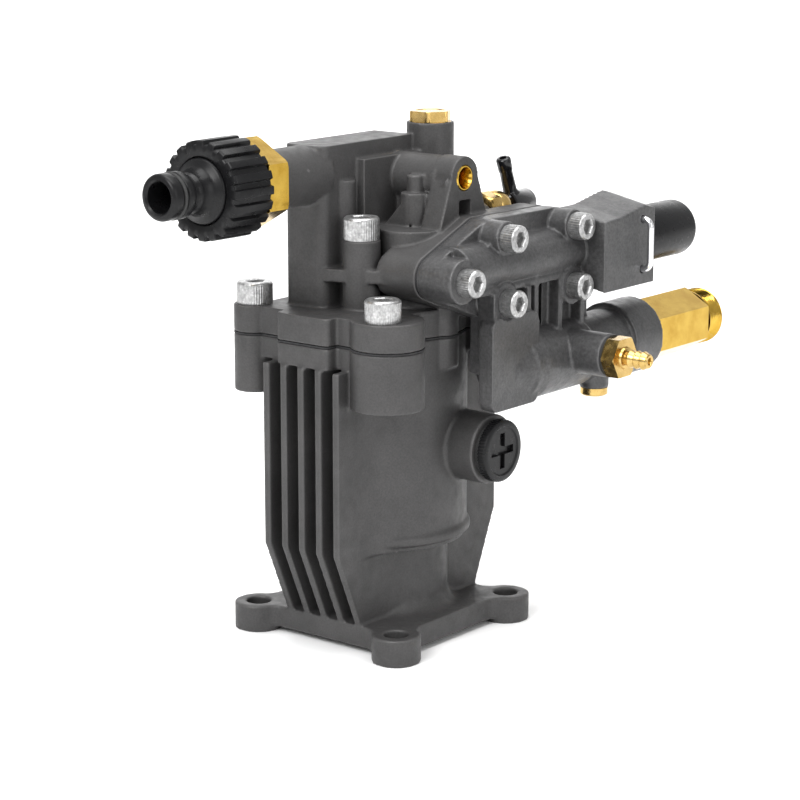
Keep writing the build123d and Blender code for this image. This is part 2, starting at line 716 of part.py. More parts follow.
def feed_passages():
    """Passages from the inlet gallery to the inlet valves, the first one up through the lug's post."""
    cuts = [rod_y(INLET_PORT_R, INLET_BOSS_Y - EXTRA, INLET_PORT_Y, INLET_X, INLET_Z)]
    cuts.append(rod_y(ADAPTER_BORE_R, INLET_PORT_Y - EXTRA, INLET_PASSAGE_Y, INLET_X, INLET_Z))
    cuts.append(drill((INLET_X, INLET_PASSAGE_Y - 4, INLET_Z), (*CAP_TOWER, INLET_Z), FEED_R))
    first, start_z, gallery_z = PISTONS[0], VALVE_TOP - EXTRA, LUG_Z - 1
    bend, junction = (*LUG_POST, LUG_POST_TOP - 4), (LUG_POST[0], LUG_Y, gallery_z)
    cuts.append(drill((*first, start_z), bend, POST_BORE_R))
    cuts.append(drill((bend[0], bend[1], bend[2] - POST_BORE_R), junction, BEND_BORE_R))
    cuts.append(rod_x(GALLERY_BORE_R, INLET_X, LUG_POST[0] + EXTRA, LUG_Y, gallery_z))
    for x, y in PISTONS[1:]:
        cuts.append(drill((x, y, start_z), (TOWER_X[1] - FEED_R, y * 0.6, FEED_Z), FEED_R))
    return cuts


def head_passages():
    """Everything that is bored out of the head."""
    cuts = feed_passages()
    cuts.append(rod(CAP_PLUG_R + RUN_GAP, HEAD_TOP_Z, CAP_TOWER_TOP + EXTRA, *CAP_TOWER))
    for x, y in PISTONS:
        cuts.append(rod(PACKING_R, HEAD_Z - EXTRA, PACKING_TOP, x, y))
        cuts.append(rod(CHAMBER_R, HEAD_Z, CHAMBER_TOP, x, y))
        cuts.append(rod(VALVE_R, CHAMBER_TOP - EXTRA, VALVE_TOP, x, y))
    for (x, y), (valve_y, valve_z) in zip(sorted(PISTONS, key=lambda place: place[1]), OUTLET_VALVES):
        cuts.append(drill((x, y, CHAMBER_TOP - 4), (OUTLET_SEAT_X + EXTRA, valve_y, valve_z), DUCT_BORE_R))
        cuts.append(rod_x(OUTLET_VALVE_R, OUTLET_SEAT_X, JOINT_X + EXTRA, valve_y, valve_z))
    for y, z, _ in SCREWS:
        cuts.append(rod_x(M6_R + RUN_GAP, M6_TIP_X - EXTRA, JOINT_X + EXTRA, y, z))
    for x, y in DECK_BOLTS:
        cuts.append(rod(M8_R + RUN_GAP, HEAD_Z - EXTRA, HEAD_DECK_Z + EXTRA, x, y))
    cuts.append(rod(M8_R + RUN_GAP, HEAD_Z - EXTRA, CENTRE_BOLT_Z + EXTRA, *CENTRE_BOLT))
    stub_y = RELIEF_Y - RELIEF_STUB_L - EXTRA
    cuts.append(rod_y(RELIEF_STUB_R + RUN_GAP, stub_y, RELIEF_Y, RELIEF_X, RELIEF_STUB_Z))
    return cuts


def head_gasket():
    """Thin gasket on the crankcase deck."""
    sheet = deck_outline(DECK_Z, HEAD_Z) - rod(CAVITY_R, DECK_Z - EXTRA, HEAD_Z + EXTRA)
    for x, y in DECK_BOLTS:
        sheet -= rod(M8_R + RUN_GAP, DECK_Z - EXTRA, HEAD_Z + EXTRA, x, y)
    return sheet


def head_bolts():
    """Four deck bolts and the longer guide bolt."""
    deck = [Pos(x, y, HEAD_DECK_Z) * socket_screw(M8_HEAD_R, M8_HEAD_H, M8_R, DECK_BOLT_L, M8_KEY_AF)
            for x, y in DECK_BOLTS]
    guide_bolt = socket_screw(M8_HEAD_R, M8_HEAD_H, M8_R, CENTRE_BOLT_L, M8_KEY_AF)
    return group(deck + [Pos(*CENTRE_BOLT, CENTRE_BOLT_Z) * guide_bolt])


def valve_cap():
    """Brass hexagon cap screwed into its tower."""
    cap = Pos(*CAP_TOWER, CAP_TOWER_TOP) * hexagon(CAP_AF, CAP_T)
    return cap + rod(CAP_PLUG_R, CAP_TOWER_TOP - CAP_PLUG_L, CAP_TOWER_TOP, *CAP_TOWER)


def lug_insert():
    """Brass threaded insert in the lug."""
    x1 = LUG_X[1]
    insert = rod_x(INSERT_R - RUN_GAP, x1 - INSERT_L, x1, LUG_Y, LUG_Z)
    return insert - rod_x(INSERT_BORE_R, x1 - INSERT_L - EXTRA, x1 + EXTRA, LUG_Y, LUG_Z)


# ---------------------------------------------------------------- check valves
def inlet_valve(x, y):
    """Seat, poppet, spring and cage of an inlet check valve that opens downwards."""
    seat_z = VALVE_TOP - VALVE_SEAT_T
    seat = ring(VALVE_R, INLET_SEAT_BORE_R, seat_z, VALVE_TOP, x, y)
    cage = ring(VALVE_R, INLET_CAGE_BORE_R, CHAMBER_TOP, CHAMBER_TOP + CAGE_T, x, y)
    poppet = rod(INLET_POPPET_R, seat_z - POPPET_T, seat_z, x, y)
    spring_z = CHAMBER_TOP + CAGE_T
    spring = Pos(x, y, spring_z) * coil(*INLET_SPRING, seat_z - POPPET_T - spring_z, VALVE_SPRING_TURNS)
    return seat, cage, poppet, spring


def outlet_valve(y, z):
    """Seat, poppet, spring and cage of an outlet check valve that opens along +X."""
    seat_end = OUTLET_SEAT_X + VALVE_SEAT_T
    poppet_end = seat_end + POPPET_T
    radius = OUTLET_VALVE_R
    seat = along_x(ring(radius, OUTLET_SEAT_BORE_R, 0, VALVE_SEAT_T), OUTLET_SEAT_X, y, z)
    cage = along_x(ring(radius, OUTLET_CAGE_BORE_R, 0, CAGE_T), OUTLET_CAGE_X, y, z)
    poppet = along_x(rod(OUTLET_POPPET_R, 0, POPPET_T), seat_end, y, z)
    spring = along_x(coil(*OUTLET_SPRING, OUTLET_CAGE_X - poppet_end, VALVE_SPRING_TURNS), poppet_end, y, z)
    return seat, cage, poppet, spring


# ---------------------------------------------------------------- manifold
def manifold():
    """Outlet manifold casting with the unloader block and the injector boss."""
    body = joint_outline(MANIFOLD_X, MANIFOLD_X + MANIFOLD_PLATE_T)
    bulge = rod_y(BULGE_R, BULGE_Y, UNL_BLOCK_Y[0] + 3, OUT_X, UNL_Z)
    behind = block(OUT_X - 2 * BULGE_R, MANIFOLD_X, BULGE_Y - 1, UNL_BLOCK_Y[1], UNL_Z - 20, UNL_Z + 20)
    body += bulge - behind
    body += plate_yz(BRACE_OUTLINE, MANIFOLD_X, SCREW_SEAT_X - 3)
    body += outlet_body()
    body += unloader_block()
    for y, z, radius in SCREWS:
        body += rod_x(radius - RUN_GAP, MANIFOLD_X + EXTRA, SCREW_SEAT_X, y, z)
    return carve(body, manifold_passages())


def outlet_body():
    """Lower gallery, collar, ribs and the bosses that hang on the gallery."""
    wall = block(*WALL_X, *WALL_Y, OUT_Z - OUT_GALLERY_R, WALL_TOP)
    wall = fillet(wall.edges().filter_by(Axis.X), WALL_CORNER_R)
    wall += rod_y(OUT_GALLERY_R, *OUT_GALLERY_Y, OUT_X, OUT_Z)
    wall += rod_y(COLLAR_R, OUT_GALLERY_Y[1] - EXTRA, COLLAR_Y, OUT_X, OUT_Z)
    wall += block(*WEB_X, *WEB_Y, OUT_Z, WEB_TOP)
    for y in WEB_RIB_Y:
        wall += block(WEB_X[0], SCREW_SEAT_X - 1, y - RIB_T / 2, y + RIB_T / 2, OUT_Z, WEB_RIB_TOP)
    wall += rod_x(INJ_BOSS_R, OUT_X, INJ_SEAT_X - INJ_RING_T, INJ_Y, INJ_Z)
    return wall + rod(DRAIN_BOSS_R, DRAIN_Z, OUT_Z, *DRAIN)


def unloader_block():
    """Block at the end of the manifold that holds the unloader; its top leans up to the rear."""
    y0, y1 = UNL_BLOCK_Y
    z0, z1 = UNL_BLOCK_Z
    back_x, front_x = UNL_BLOCK_X
    outline = ((y0, z0), (y1, z0), (y1, z1), (y1 - 6, z1 + 1.5), (y1 - 12, z1 + 0.5), (y0 + 10, z1 - 1.5),
               (y0, z1 - 2))
    face = Plane.YZ.offset(front_x) * make_face(Polyline(*outline, close=True))
    lean = Vector(back_x - front_x, 0, UNL_BLOCK_RISE)
    return extrude(face, lean.length, dir=lean.normalized())


def manifold_passages():
    """Everything that is bored out of the manifold."""
    cuts = [rod_y(OUT_BORE_R, OUT_GALLERY_Y[0] + 6, COLLAR_Y, OUT_X, OUT_Z)]
    cuts.append(rod_y(OUT_STUB_R + RUN_GAP, OUT_STUB_Y, COLLAR_Y + EXTRA, OUT_X, OUT_Z))
    cuts.append(rod_y(BULGE_BORE_R, *BULGE_BORE_Y, OUT_X, UNL_Z))
    cuts.append(rod(CROSS_BORE_R, OUT_Z, UNL_Z, OUT_X - 1, CROSS_BORE_Y))
    for y, z in OUTLET_VALVES:
        cuts.append(rod_x(OUTLET_VALVE_R, MANIFOLD_X - EXTRA, OUTLET_CAGE_X + CAGE_T, y, z))
    for y, z, _ in SCREWS:
        cuts.append(rod_x(M6_R + RUN_GAP * 8, MANIFOLD_X - EXTRA, SCREW_SEAT_X + EXTRA, y, z))
        cuts.append(rod_x(M6_HEAD_R + 1.2, SCREW_SEAT_X, SCREW_SEAT_X + 20, y, z))
    cuts.append(rod_y(UNL_SLEEVE_R + RUN_GAP, UNL_SLEEVE_Y, UNL_BLOCK_Y[1] + EXTRA, UNL_X, UNL_Z))
    for side in (-1, 1):
        leg_z = UNL_Z + side * CLIP_LEG
        cuts.append(rod_x(CLIP_R + 0.2, CLIP_X[0] - EXTRA, CLIP_X[1], CLIP_Y, leg_z))
    stub_x = INJ_SEAT_X - INJ_STUB_L - EXTRA
    cuts.append(rod_x(INJ_STUB_R + RUN_GAP, stub_x, INJ_SEAT_X + EXTRA, INJ_Y, INJ_Z))
    cuts.append(rod_x(INJ_FEED_R, OUT_X, stub_x + 2, INJ_Y, INJ_Z))
    cuts.append(rod_y(STEM_R + 0.6, UNL_BLOCK_Y[0] - 1, UNL_SLEEVE_Y + EXTRA, UNL_X, UNL_Z))
    cuts.append(rod(DRAIN_R + RUN_GAP, DRAIN_Z - EXTRA, OUT_Z - 6, *DRAIN))
    return cuts


def manifold_gasket():
    """Gasket between head and manifold."""
    sheet = joint_outline(JOINT_X, MANIFOLD_X, trim=0.4)
    for y, z in OUTLET_VALVES:
        sheet -= rod_x(OUTLET_VALVE_R, JOINT_X - EXTRA, MANIFOLD_X + EXTRA, y, z)
    for y, z, _ in SCREWS:
        sheet -= rod_x(M6_R + RUN_GAP * 8, JOINT_X - EXTRA, MANIFOLD_X + EXTRA, y, z)
    return sheet


def manifold_screws():
    """Five M6 socket screws."""
    length = SCREW_SEAT_X - M6_TIP_X
    screw = socket_screw(M6_HEAD_R, M6_HEAD_H, M6_R, length, M6_KEY_AF)
    return group([along_x(screw, SCREW_SEAT_X, y, z) for y, z, _ in SCREWS])


def outlet_fitting():
    """Brass hexagon outlet with a male end thread."""
    length = OUT_HEX_Y - COLLAR_Y
    shape = Rot(0, 0, 30) * hexagon(OUT_AF, length)
    shape = along_y(shape, OUT_X, OUT_HEX_Y, OUT_Z)
    shape += rod_y(OUT_STUB_R, OUT_STUB_Y, COLLAR_Y + EXTRA, OUT_X, OUT_Z)
    shape += rod_y(OUT_THREAD_R, OUT_HEX_Y - EXTRA, OUT_THREAD_Y, OUT_X, OUT_Z)
    return shape - rod_y(OUT_BORE_R, OUT_STUB_Y - EXTRA, OUT_THREAD_Y + EXTRA, OUT_X, OUT_Z)


def drain_plug():
    """Plug in the port under the gallery."""
    return rod(DRAIN_R, DRAIN_Z, DRAIN_Z + 7, *DRAIN) + rod(DRAIN_HEAD_R, DRAIN_Z - 3, DRAIN_Z, *DRAIN)


# ---------------------------------------------------------------- injector
def injector_barb():
    """Brass hexagon hose barb with its ball chamber, turned about its own axis."""
    start = INJ_SEAT_X + INJ_HEX_T
    back = INJ_SEAT_X - INJ_STUB_L
    pitch = (INJ_TIP_X - start) / 4
    chamber_r, chamber_x = INJ_BALL_R + SIGHT_GAP, INJ_BALL_X + 1.9
    outline = [(back, chamber_r), (back, INJ_STUB_R), (INJ_SEAT_X, INJ_STUB_R), (INJ_SEAT_X, INJ_CORE_R)]
    for index in range(1, 4):
        x = start + pitch * index
        outline += [(x, INJ_CORE_R), (x, INJ_BARB_R), (x + pitch * 0.8, INJ_CORE_R)]
    outline += [(INJ_TIP_X, INJ_CORE_R), (INJ_TIP_X, INJ_BORE_R)]
    outline += [(chamber_x, INJ_BORE_R), (chamber_x, chamber_r)]
    turned = Pos(0, INJ_Y, INJ_Z) * revolve(make_face(Polyline(*outline, close=True)), Axis.X)
    nut = along_x(hexagon(INJ_AF, INJ_HEX_T), INJ_SEAT_X, INJ_Y, INJ_Z)
    return turned + (nut - rod_x(INJ_BORE_R, INJ_SEAT_X - EXTRA, start + EXTRA, INJ_Y, INJ_Z))


def injector_ring():
    """O-ring between the barb's hexagon and its boss."""
    outer = rod_x(INJ_BOSS_R - 0.3, INJ_SEAT_X - INJ_RING_T, INJ_SEAT_X, INJ_Y, INJ_Z)
    return outer - rod_x(INJ_STUB_R + RUN_GAP, INJ_SEAT_X - 2, INJ_SEAT_X + 1, INJ_Y, INJ_Z)


# ---------------------------------------------------------------- unloader group
def unloader_sleeve():
    """Sleeve that the clip holds in the block, with the neck that carries the knob."""
    y1 = UNL_BLOCK_Y[1]
    sleeve = rod_y(UNL_SLEEVE_R, UNL_SLEEVE_Y, y1, UNL_X, UNL_Z)
    sleeve += rod_y(UNL_NECK_R, y1 - EXTRA, UNL_NECK_Y, UNL_X, UNL_Z)
    groove = CLIP_R + 0.3
    wide = rod_y(UNL_SLEEVE_R + EXTRA, CLIP_Y - groove, CLIP_Y + groove, UNL_X, UNL_Z)
    core = rod_y(CLIP_LEG - CLIP_R - 0.2, CLIP_Y - 2 * groove, CLIP_Y + 2 * groove, UNL_X, UNL_Z)
    sleeve -= wide - core
    bore = rod_y(UNL_BORE_R, UNL_SLEEVE_Y + 8, UNL_NECK_Y + EXTRA, UNL_X, UNL_Z)
    return sleeve - bore - rod_y(STEM_R + 0.3, UNL_SLEEVE_Y - EXTRA, UNL_SLEEVE_Y + 9, UNL_X, UNL_Z)


def unloader_stem():
    """Stem that lifts against the spring when the gun closes."""
    disc = rod_y(UNL_BORE_R - 0.3, STEM_DISC_Y - 2, STEM_DISC_Y, UNL_X, UNL_Z)
    return disc + rod_y(STEM_R, UNL_SLEEVE_Y - 4, STEM_DISC_Y - 1, UNL_X, UNL_Z)


def unloader_knob():
    """Hollow knob with the threaded spindle inside."""
    y0, y1 = KNOB_Y
    knob = rod_y(KNOB_R, y0, y1, UNL_X, UNL_Z)
    rim = knob.edges().filter_by(GeomType.CIRCLE).sort_by(Axis.Y)[-1]
    knob = fillet(rim, KNOB_DOME)
    knob -= rod_y(UNL_NECK_R + 0.6, y0 - EXTRA, y1 - 4, UNL_X, UNL_Z)
    return knob + rod_y(SPINDLE_R, ADJUSTER_Y - 5, y1 - 3, UNL_X, UNL_Z)


def unloader_adjuster():
    """Nut on the spindle that loads the spring."""
    nut = rod_y(UNL_BORE_R - 0.3, ADJUSTER_Y, ADJUSTER_Y + ADJUSTER_L, UNL_X, UNL_Z)
    return nut - rod_y(SPINDLE_R + 0.08, ADJUSTER_Y - EXTRA, ADJUSTER_Y + ADJUSTER_L + EXTRA, UNL_X, UNL_Z)


def unloader_spring():
    """Spring between stem and adjuster."""
    shape = coil(*UNL_SPRING, ADJUSTER_Y - STEM_DISC_Y, UNL_SPRING_TURNS)
    return Pos(UNL_X, STEM_DISC_Y, UNL_Z) * Rot(-90, 0, 0) * shape


def retaining_clip():
    """Staple of round wire that locks the sleeve in the block."""
    low, high = UNL_Z - CLIP_LEG, UNL_Z + CLIP_LEG
    path = FilletPolyline((CLIP_X[0], CLIP_Y, low), (CLIP_X[1], CLIP_Y, low), (CLIP_X[1], CLIP_Y, high),
                          (CLIP_X[0], CLIP_Y, high), radius=3)
    return sweep(Plane(origin=path @ 0, z_dir=path % 0) * Circle(CLIP_R), path)


# ---------------------------------------------------------------- inlet fittings
def inlet_adapter():
    """Brass hexagon adapter between the head's boss and the nut."""
    shape = along_y(Rot(0, 0, 30) * hexagon(NIP_HEX_AF, NIP_HEX_T), INLET_X, INLET_BOSS_Y, INLET_Z)
    shape += rod_y(8.5, INLET_BOSS_Y - EXTRA, -40, INLET_X, INLET_Z)
    shape += rod_y(ADAPTER_THREAD_R, HEX_FRONT_Y - ADAPTER_THREAD_L, HEX_FRONT_Y + EXTRA, INLET_X, INLET_Z)
    return shape - rod_y(ADAPTER_BORE_R, HEX_FRONT_Y - 12, -39, INLET_X, INLET_Z)


def inlet_nut():
    """Ribbed swivel nut."""
    shape = rod_y(NUT_R - NUT_RIB_H, NUT_FRONT_Y, NUT_BACK_Y, INLET_X, INLET_Z)
    reach = NUT_R - NUT_RIB_R
    for index in range(NUT_RIBS):
        turn = 2 * pi * index / NUT_RIBS
        x, z = INLET_X + reach * cos(turn), INLET_Z + reach * sin(turn)
        shape += rod_y(NUT_RIB_R, NUT_FRONT_Y + 1, NUT_BACK_Y - 1, x, z)
    shape -= rod_y(NUT_BORE_R, LIP_Y, NUT_BACK_Y + EXTRA, INLET_X, INLET_Z)
    return shape - rod_y(NUT_LIP_R, NUT_FRONT_Y - EXTRA, LIP_Y + EXTRA, INLET_X, INLET_Z)


def inlet_nipple():
    """Quick-connect nipple, turned profile about the inlet axis."""
    flange_y = LIP_Y + 0.2
    back_y = flange_y + NIPPLE_FLANGE_T
    lip_r = NUT_LIP_R - SIGHT_GAP
    front = NIPPLE_FRONT_Y
    outline = ((0, back_y), (NIPPLE_FLANGE_R, back_y), (NIPPLE_FLANGE_R, flange_y),
               (lip_r, flange_y), (lip_r, front), (NIPPLE_R - 0.5, front - 5), (GROOVE_R, front - 7),
               (GROOVE_R, front - 9), (NIPPLE_R, front - 10), (NIPPLE_R, front - 12.5),
               (GROOVE_R, front - 13), (GROOVE_R, front - 15), (NIPPLE_R, front - 15.5),
               (NIPPLE_R, NIPPLE_TIP_Y + 1), (NIPPLE_R - 1, NIPPLE_TIP_Y), (0, NIPPLE_TIP_Y))
    profile = make_face(Polyline(*outline, close=True))
    turned = Pos(INLET_X, 0, INLET_Z) * revolve(profile, Axis.Y)
    return turned - rod_y(NIPPLE_BORE_R, NIPPLE_TIP_Y - EXTRA, back_y + EXTRA, INLET_X, INLET_Z)


def nipple_ring():
    """O-ring in the nipple's groove."""
    return Pos(INLET_X, NIPPLE_FRONT_Y - 14, INLET_Z) * Rot(90, 0, 0) * Torus(GROOVE_R + 0.8, 0.75)


def inlet_washer():
    """Flat seal between adapter and nipple."""
    y0 = LIP_Y + 0.2 + NIPPLE_FLANGE_T
    outer = rod_y(NUT_BORE_R - 1, y0, y0 + WASHER_T, INLET_X, INLET_Z)
    return outer - rod_y(ADAPTER_BORE_R, y0 - EXTRA, y0 + WASHER_T + EXTRA, INLET_X, INLET_Z)


# ---------------------------------------------------------------- thermal relief
def relief_fitting():
    """Brass relief valve body behind the lug."""
    body = rod_y(RELIEF_BODY_R, RELIEF_Y, RELIEF_Y + RELIEF_BODY_L, RELIEF_X, RELIEF_Z)
    body += Pos(RELIEF_X, RELIEF_Y + RELIEF_BALL_L, RELIEF_Z) * Sphere(RELIEF_BALL_R)
    body += rod_y(RELIEF_TIP_R, RELIEF_Y + RELIEF_BODY_L, RELIEF_Y + RELIEF_TIP_L, RELIEF_X, RELIEF_Z)
    return body + rod_y(RELIEF_STUB_R, RELIEF_Y - RELIEF_STUB_L, RELIEF_Y + EXTRA, RELIEF_X, RELIEF_STUB_Z)


def relief_elbow():
    """Plastic elbow that swivels on the relief valve."""
    y0 = RELIEF_Y + ELBOW_START
    foot = Pos(RELIEF_X, RELIEF_Y + ELBOW_TUBE_START, RELIEF_Z) * Rot(ELBOW_LEAN, 0, 0)
    shape = rod_y(ELBOW_R, y0, y0 + ELBOW_L, RELIEF_X, RELIEF_Z) + foot * rod(ELBOW_TUBE_R, 0, ELBOW_TUBE_L)
    return shape - rod_y(RELIEF_TIP_R + SIGHT_GAP, y0 - EXTRA, y0 + ELBOW_BORE_L, RELIEF_X, RELIEF_Z)


# ---------------------------------------------------------------- write every sub-part
def build_housing():
    """Fixed castings, gaskets, seals and fasteners."""
    save("crankcase", crankcase())
    save("oil_plug", oil_plug())
    save("oil_plug_washer", oil_plug_washer())
    save("shaft_oil_seal", ring(SEAL_R, SHAFT_R + SIGHT_GAP, SEAL_Z, SEAL_Z + SEAL_T))
    save("piston_guide", piston_guide())
    save("piston_packings", piston_packings())
    save("head_gasket", head_gasket())
    save("pump_head", pump_head())
    save("head_bolts", head_bolts())
    save("valve_cap", valve_cap())
    save("lug_insert", lug_insert())
    save("manifold_gasket", manifold_gasket())
    save("manifold", manifold())
    save("manifold_screws", manifold_screws())
    save("outlet_fitting", outlet_fitting())
    save("drain_plug", drain_plug())


def build_drive():
    """Shaft, its bearing and the tilted thrust bearing."""
    z0, z1 = BEARING_Z, BEARING_Z + BEARING_T
    inner = SHAFT_R + BEARING_RACE_T
    save("drive_shaft", drive_shaft())
    save("bearing_inner_race", ring(inner, SHAFT_R, z0, z1))
    save("bearing_outer_race", ring(CAVITY_R, CAVITY_R - BEARING_RACE_T, z0, z1))
    save("bearing_balls", group([Pos(0, 0, (z0 + z1) / 2) * item for item in bearing_balls()]))
    lower, ball_z, upper = thrust_heights()
    save("thrust_lower_race", tilted(ring(SWASH_R - 0.5, 14, lower, lower + RACE_T)))
    save("thrust_balls", group([tilted(Pos(0, 0, ball_z) * item) for item in thrust_balls()]))
    save("thrust_upper_race", tilted(ring(SWASH_R, 6, upper, upper + WOBBLE_T)))


def build_pistons():
    """Pistons, their spring retainers and return springs."""
    spring_z = RETAINER_Z + RETAINER_T
    for index, (x, y) in enumerate(PISTONS, start=1):
        retainer = ring(RETAINER_R, PISTON_R, RETAINER_Z, spring_z, x, y)
        save(f"piston_{index}", group([rod(PISTON_R, PISTON_Z, PISTON_TOP, x, y), retainer]))
        spring = coil(SPRING_R, SPRING_WIRE_R, GUIDE_Z - spring_z, SPRING_TURNS)
        save(f"piston_spring_{index}", Pos(x, y, spring_z) * spring)


def build_valves():
    """Inlet and outlet check valves."""
    for kind, sets in (("inlet", [inlet_valve(x, y) for x, y in PISTONS]),
                       ("outlet", [outlet_valve(y, z) for y, z in OUTLET_VALVES])):
        save(f"{kind}_valve_seats", group([piece for seat, cage, _, _ in sets for piece in (seat, cage)]))
        for index, (_, _, poppet, spring) in enumerate(sets, start=1):
            save(f"{kind}_poppet_{index}", poppet)
            save(f"{kind}_spring_{index}", spring)


def build_fittings():
    """Injector, unloader, inlet and relief fittings."""
    save("injector_barb", injector_barb())
    save("injector_ring", injector_ring())
    save("injector_ball", Pos(INJ_BALL_X, INJ_Y, INJ_Z) * Sphere(INJ_BALL_R))
    start = INJ_SEAT_X - INJ_STUB_L
    spring = coil(*INJ_SPRING, INJ_BALL_X - INJ_BALL_R - start, VALVE_SPRING_TURNS)
    save("injector_spring", along_x(spring, start, INJ_Y, INJ_Z))
    save("unloader_sleeve", unloader_sleeve())
    save("unloader_stem", unloader_stem())
    save("unloader_spring", unloader_spring())
    save("unloader_adjuster", unloader_adjuster())
    save("unloader_knob", unloader_knob())
    save("retaining_clip", retaining_clip())
    save("inlet_adapter", inlet_adapter())
    save("inlet_washer", inlet_washer())
    save("inlet_nut", inlet_nut())
    save("inlet_nipple", inlet_nipple())
    save("nipple_ring", nipple_ring())
    save("relief_fitting", relief_fitting())
    save("relief_elbow", relief_elbow())


build_housing()
build_drive()
build_pistons()
build_valves()
build_fittings()
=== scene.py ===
"""Looks of the pressure washer pump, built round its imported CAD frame. Lengths are in millimetres until
a mesh is made, and each mesh is made in metres in the frame's own axes: +Z is up along the shaft, +Y is
the outlet's side and -Y the inlet's. Materials, stage, light and camera are in metres."""
import json
from math import cos, pi, radians, sin, sqrt, tan

import bmesh
import bpy
from mathutils import Matrix, Vector


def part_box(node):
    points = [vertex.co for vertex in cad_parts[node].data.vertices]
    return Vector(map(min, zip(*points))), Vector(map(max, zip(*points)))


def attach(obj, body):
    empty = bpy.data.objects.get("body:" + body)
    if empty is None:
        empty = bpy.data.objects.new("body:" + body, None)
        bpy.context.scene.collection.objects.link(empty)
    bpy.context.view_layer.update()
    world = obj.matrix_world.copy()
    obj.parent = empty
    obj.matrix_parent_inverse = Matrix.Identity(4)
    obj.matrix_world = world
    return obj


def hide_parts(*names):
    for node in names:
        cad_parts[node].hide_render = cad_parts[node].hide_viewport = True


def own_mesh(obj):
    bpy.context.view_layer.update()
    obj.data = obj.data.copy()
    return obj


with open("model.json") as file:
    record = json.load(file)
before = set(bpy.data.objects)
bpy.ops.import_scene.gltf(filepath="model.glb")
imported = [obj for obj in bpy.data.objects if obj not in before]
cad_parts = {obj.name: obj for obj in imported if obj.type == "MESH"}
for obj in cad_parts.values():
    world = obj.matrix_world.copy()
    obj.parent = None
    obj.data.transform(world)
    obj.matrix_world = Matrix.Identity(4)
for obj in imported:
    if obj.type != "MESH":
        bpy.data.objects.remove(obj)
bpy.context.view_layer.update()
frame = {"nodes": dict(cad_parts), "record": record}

MM = 0.001
WELD = 1e-7
NODES = frame["nodes"]
SLOTS = {part["node"]: part["material_slot"] for part in frame["record"]["subparts"]}
UPRIGHT = (0, 0, 1)
ALONG_X = (1, 0, 0)
ALONG_Y = (0, 1, 0)


# ------------------------------------------------------------------ places taken from the frame
def corners(node):
    """Lowest and highest corner of a CAD node, in millimetres."""
    low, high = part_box(node)
    return low / MM, high / MM


def centre(node):
    """Middle of a CAD node's box, in millimetres."""
    low, high = corners(node)
    return (low + high) / 2


def solids_of(node):
    """Box of each separate solid in a CAD node, in millimetres."""
    mesh = NODES[node].data
    work = bmesh.new()
    work.from_mesh(mesh)
    bmesh.ops.remove_doubles(work, verts=work.verts, dist=WELD)
    work.verts.ensure_lookup_table()
    seen, boxes = set(), []
    for start in work.verts:
        if start.index in seen:
            continue
        stack, points = [start], []
        seen.add(start.index)
        while stack:
            vert = stack.pop()
            points.append(vert.co / MM)
            for edge in vert.link_edges:
                other = edge.other_vert(vert)
                if other.index not in seen:
                    seen.add(other.index)
                    stack.append(other)
        low = Vector([min(p[axis] for p in points) for axis in range(3)])
        high = Vector([max(p[axis] for p in points) for axis in range(3)])
        boxes.append((low, high))
    work.free()
    return boxes


def frame_at(origin, way):
    """Matrix that carries local +Z to the given way and local zero to the origin."""
    turn = Vector(way).to_track_quat("Z", "Y").to_matrix().to_4x4()
    return Matrix.Translation(Vector(origin)) @ turn


# ------------------------------------------------------------------ mesh helpers
def value(item, angle):
    """A ring's height or radius, which is a number or a function of the angle."""
    return item(angle) if callable(item) else item


def make_object(name, verts, faces, matrix=Matrix.Identity(4)):
    """Mesh object from millimetre points."""
    mesh = bpy.data.meshes.new(name)
    mesh.from_pydata([(matrix @ Vector(v)) * MM for v in verts], [], faces)
    work = bmesh.new()
    work.from_mesh(mesh)
    bmesh.ops.recalc_face_normals(work, faces=work.faces)
    work.to_mesh(mesh)
    work.free()
    obj = bpy.data.objects.new(name, mesh)
    bpy.context.scene.collection.objects.link(obj)
    return obj


def revolved(name, rings, matrix, count=96, closed=False):
    """Solid of rings of (height, radius) about local Z, where either may depend on the angle.
    A closed one joins its last ring to its first, and an open one is capped at both ends."""
    verts, faces = [], []
    for height, radius in rings:
        for step in range(count):
            angle = 2 * pi * step / count
            reach = value(radius, angle)
            verts.append((reach * cos(angle), reach * sin(angle), value(height, angle)))
    spans = len(rings) if closed else len(rings) - 1
    for row in range(spans):
        low, high = row * count, ((row + 1) % len(rings)) * count
        for step in range(count):
            after = (step + 1) % count
            faces.append((low + step, low + after, high + after, high + step))
    if not closed:
        faces.append(tuple(reversed(range(count))))
        last = (len(rings) - 1) * count
        faces.append(tuple(range(last, last + count)))
    return make_object(name, verts, faces, matrix)


def hex_radius(across_flats, turn=0.0):
    """Radius of a hexagon as a function of the angle."""
    def radius(angle):
        part = (angle - turn) % (pi / 3) - pi / 6
        return across_flats / 2 / cos(part)
    return radius


def hex_rings(across_flats, z0, z1, turn=0.0, crown=0.96):
    """Rings of a hexagonal bar with its corners chamfered at both ends, as a nut's are."""
    radius = hex_radius(across_flats, turn)
    limit = across_flats / 2 / cos(pi / 6) * crown
    chamfer = tan(radians(30))

    def drop(angle):
        return max(0.0, radius(angle) - limit) * chamfer + 0.05

    def clipped(angle):
        return min(radius(angle), limit)

    return [(z0, clipped), (lambda angle: z0 + drop(angle), radius),
            (lambda angle: z1 - drop(angle), radius), (z1, clipped)]


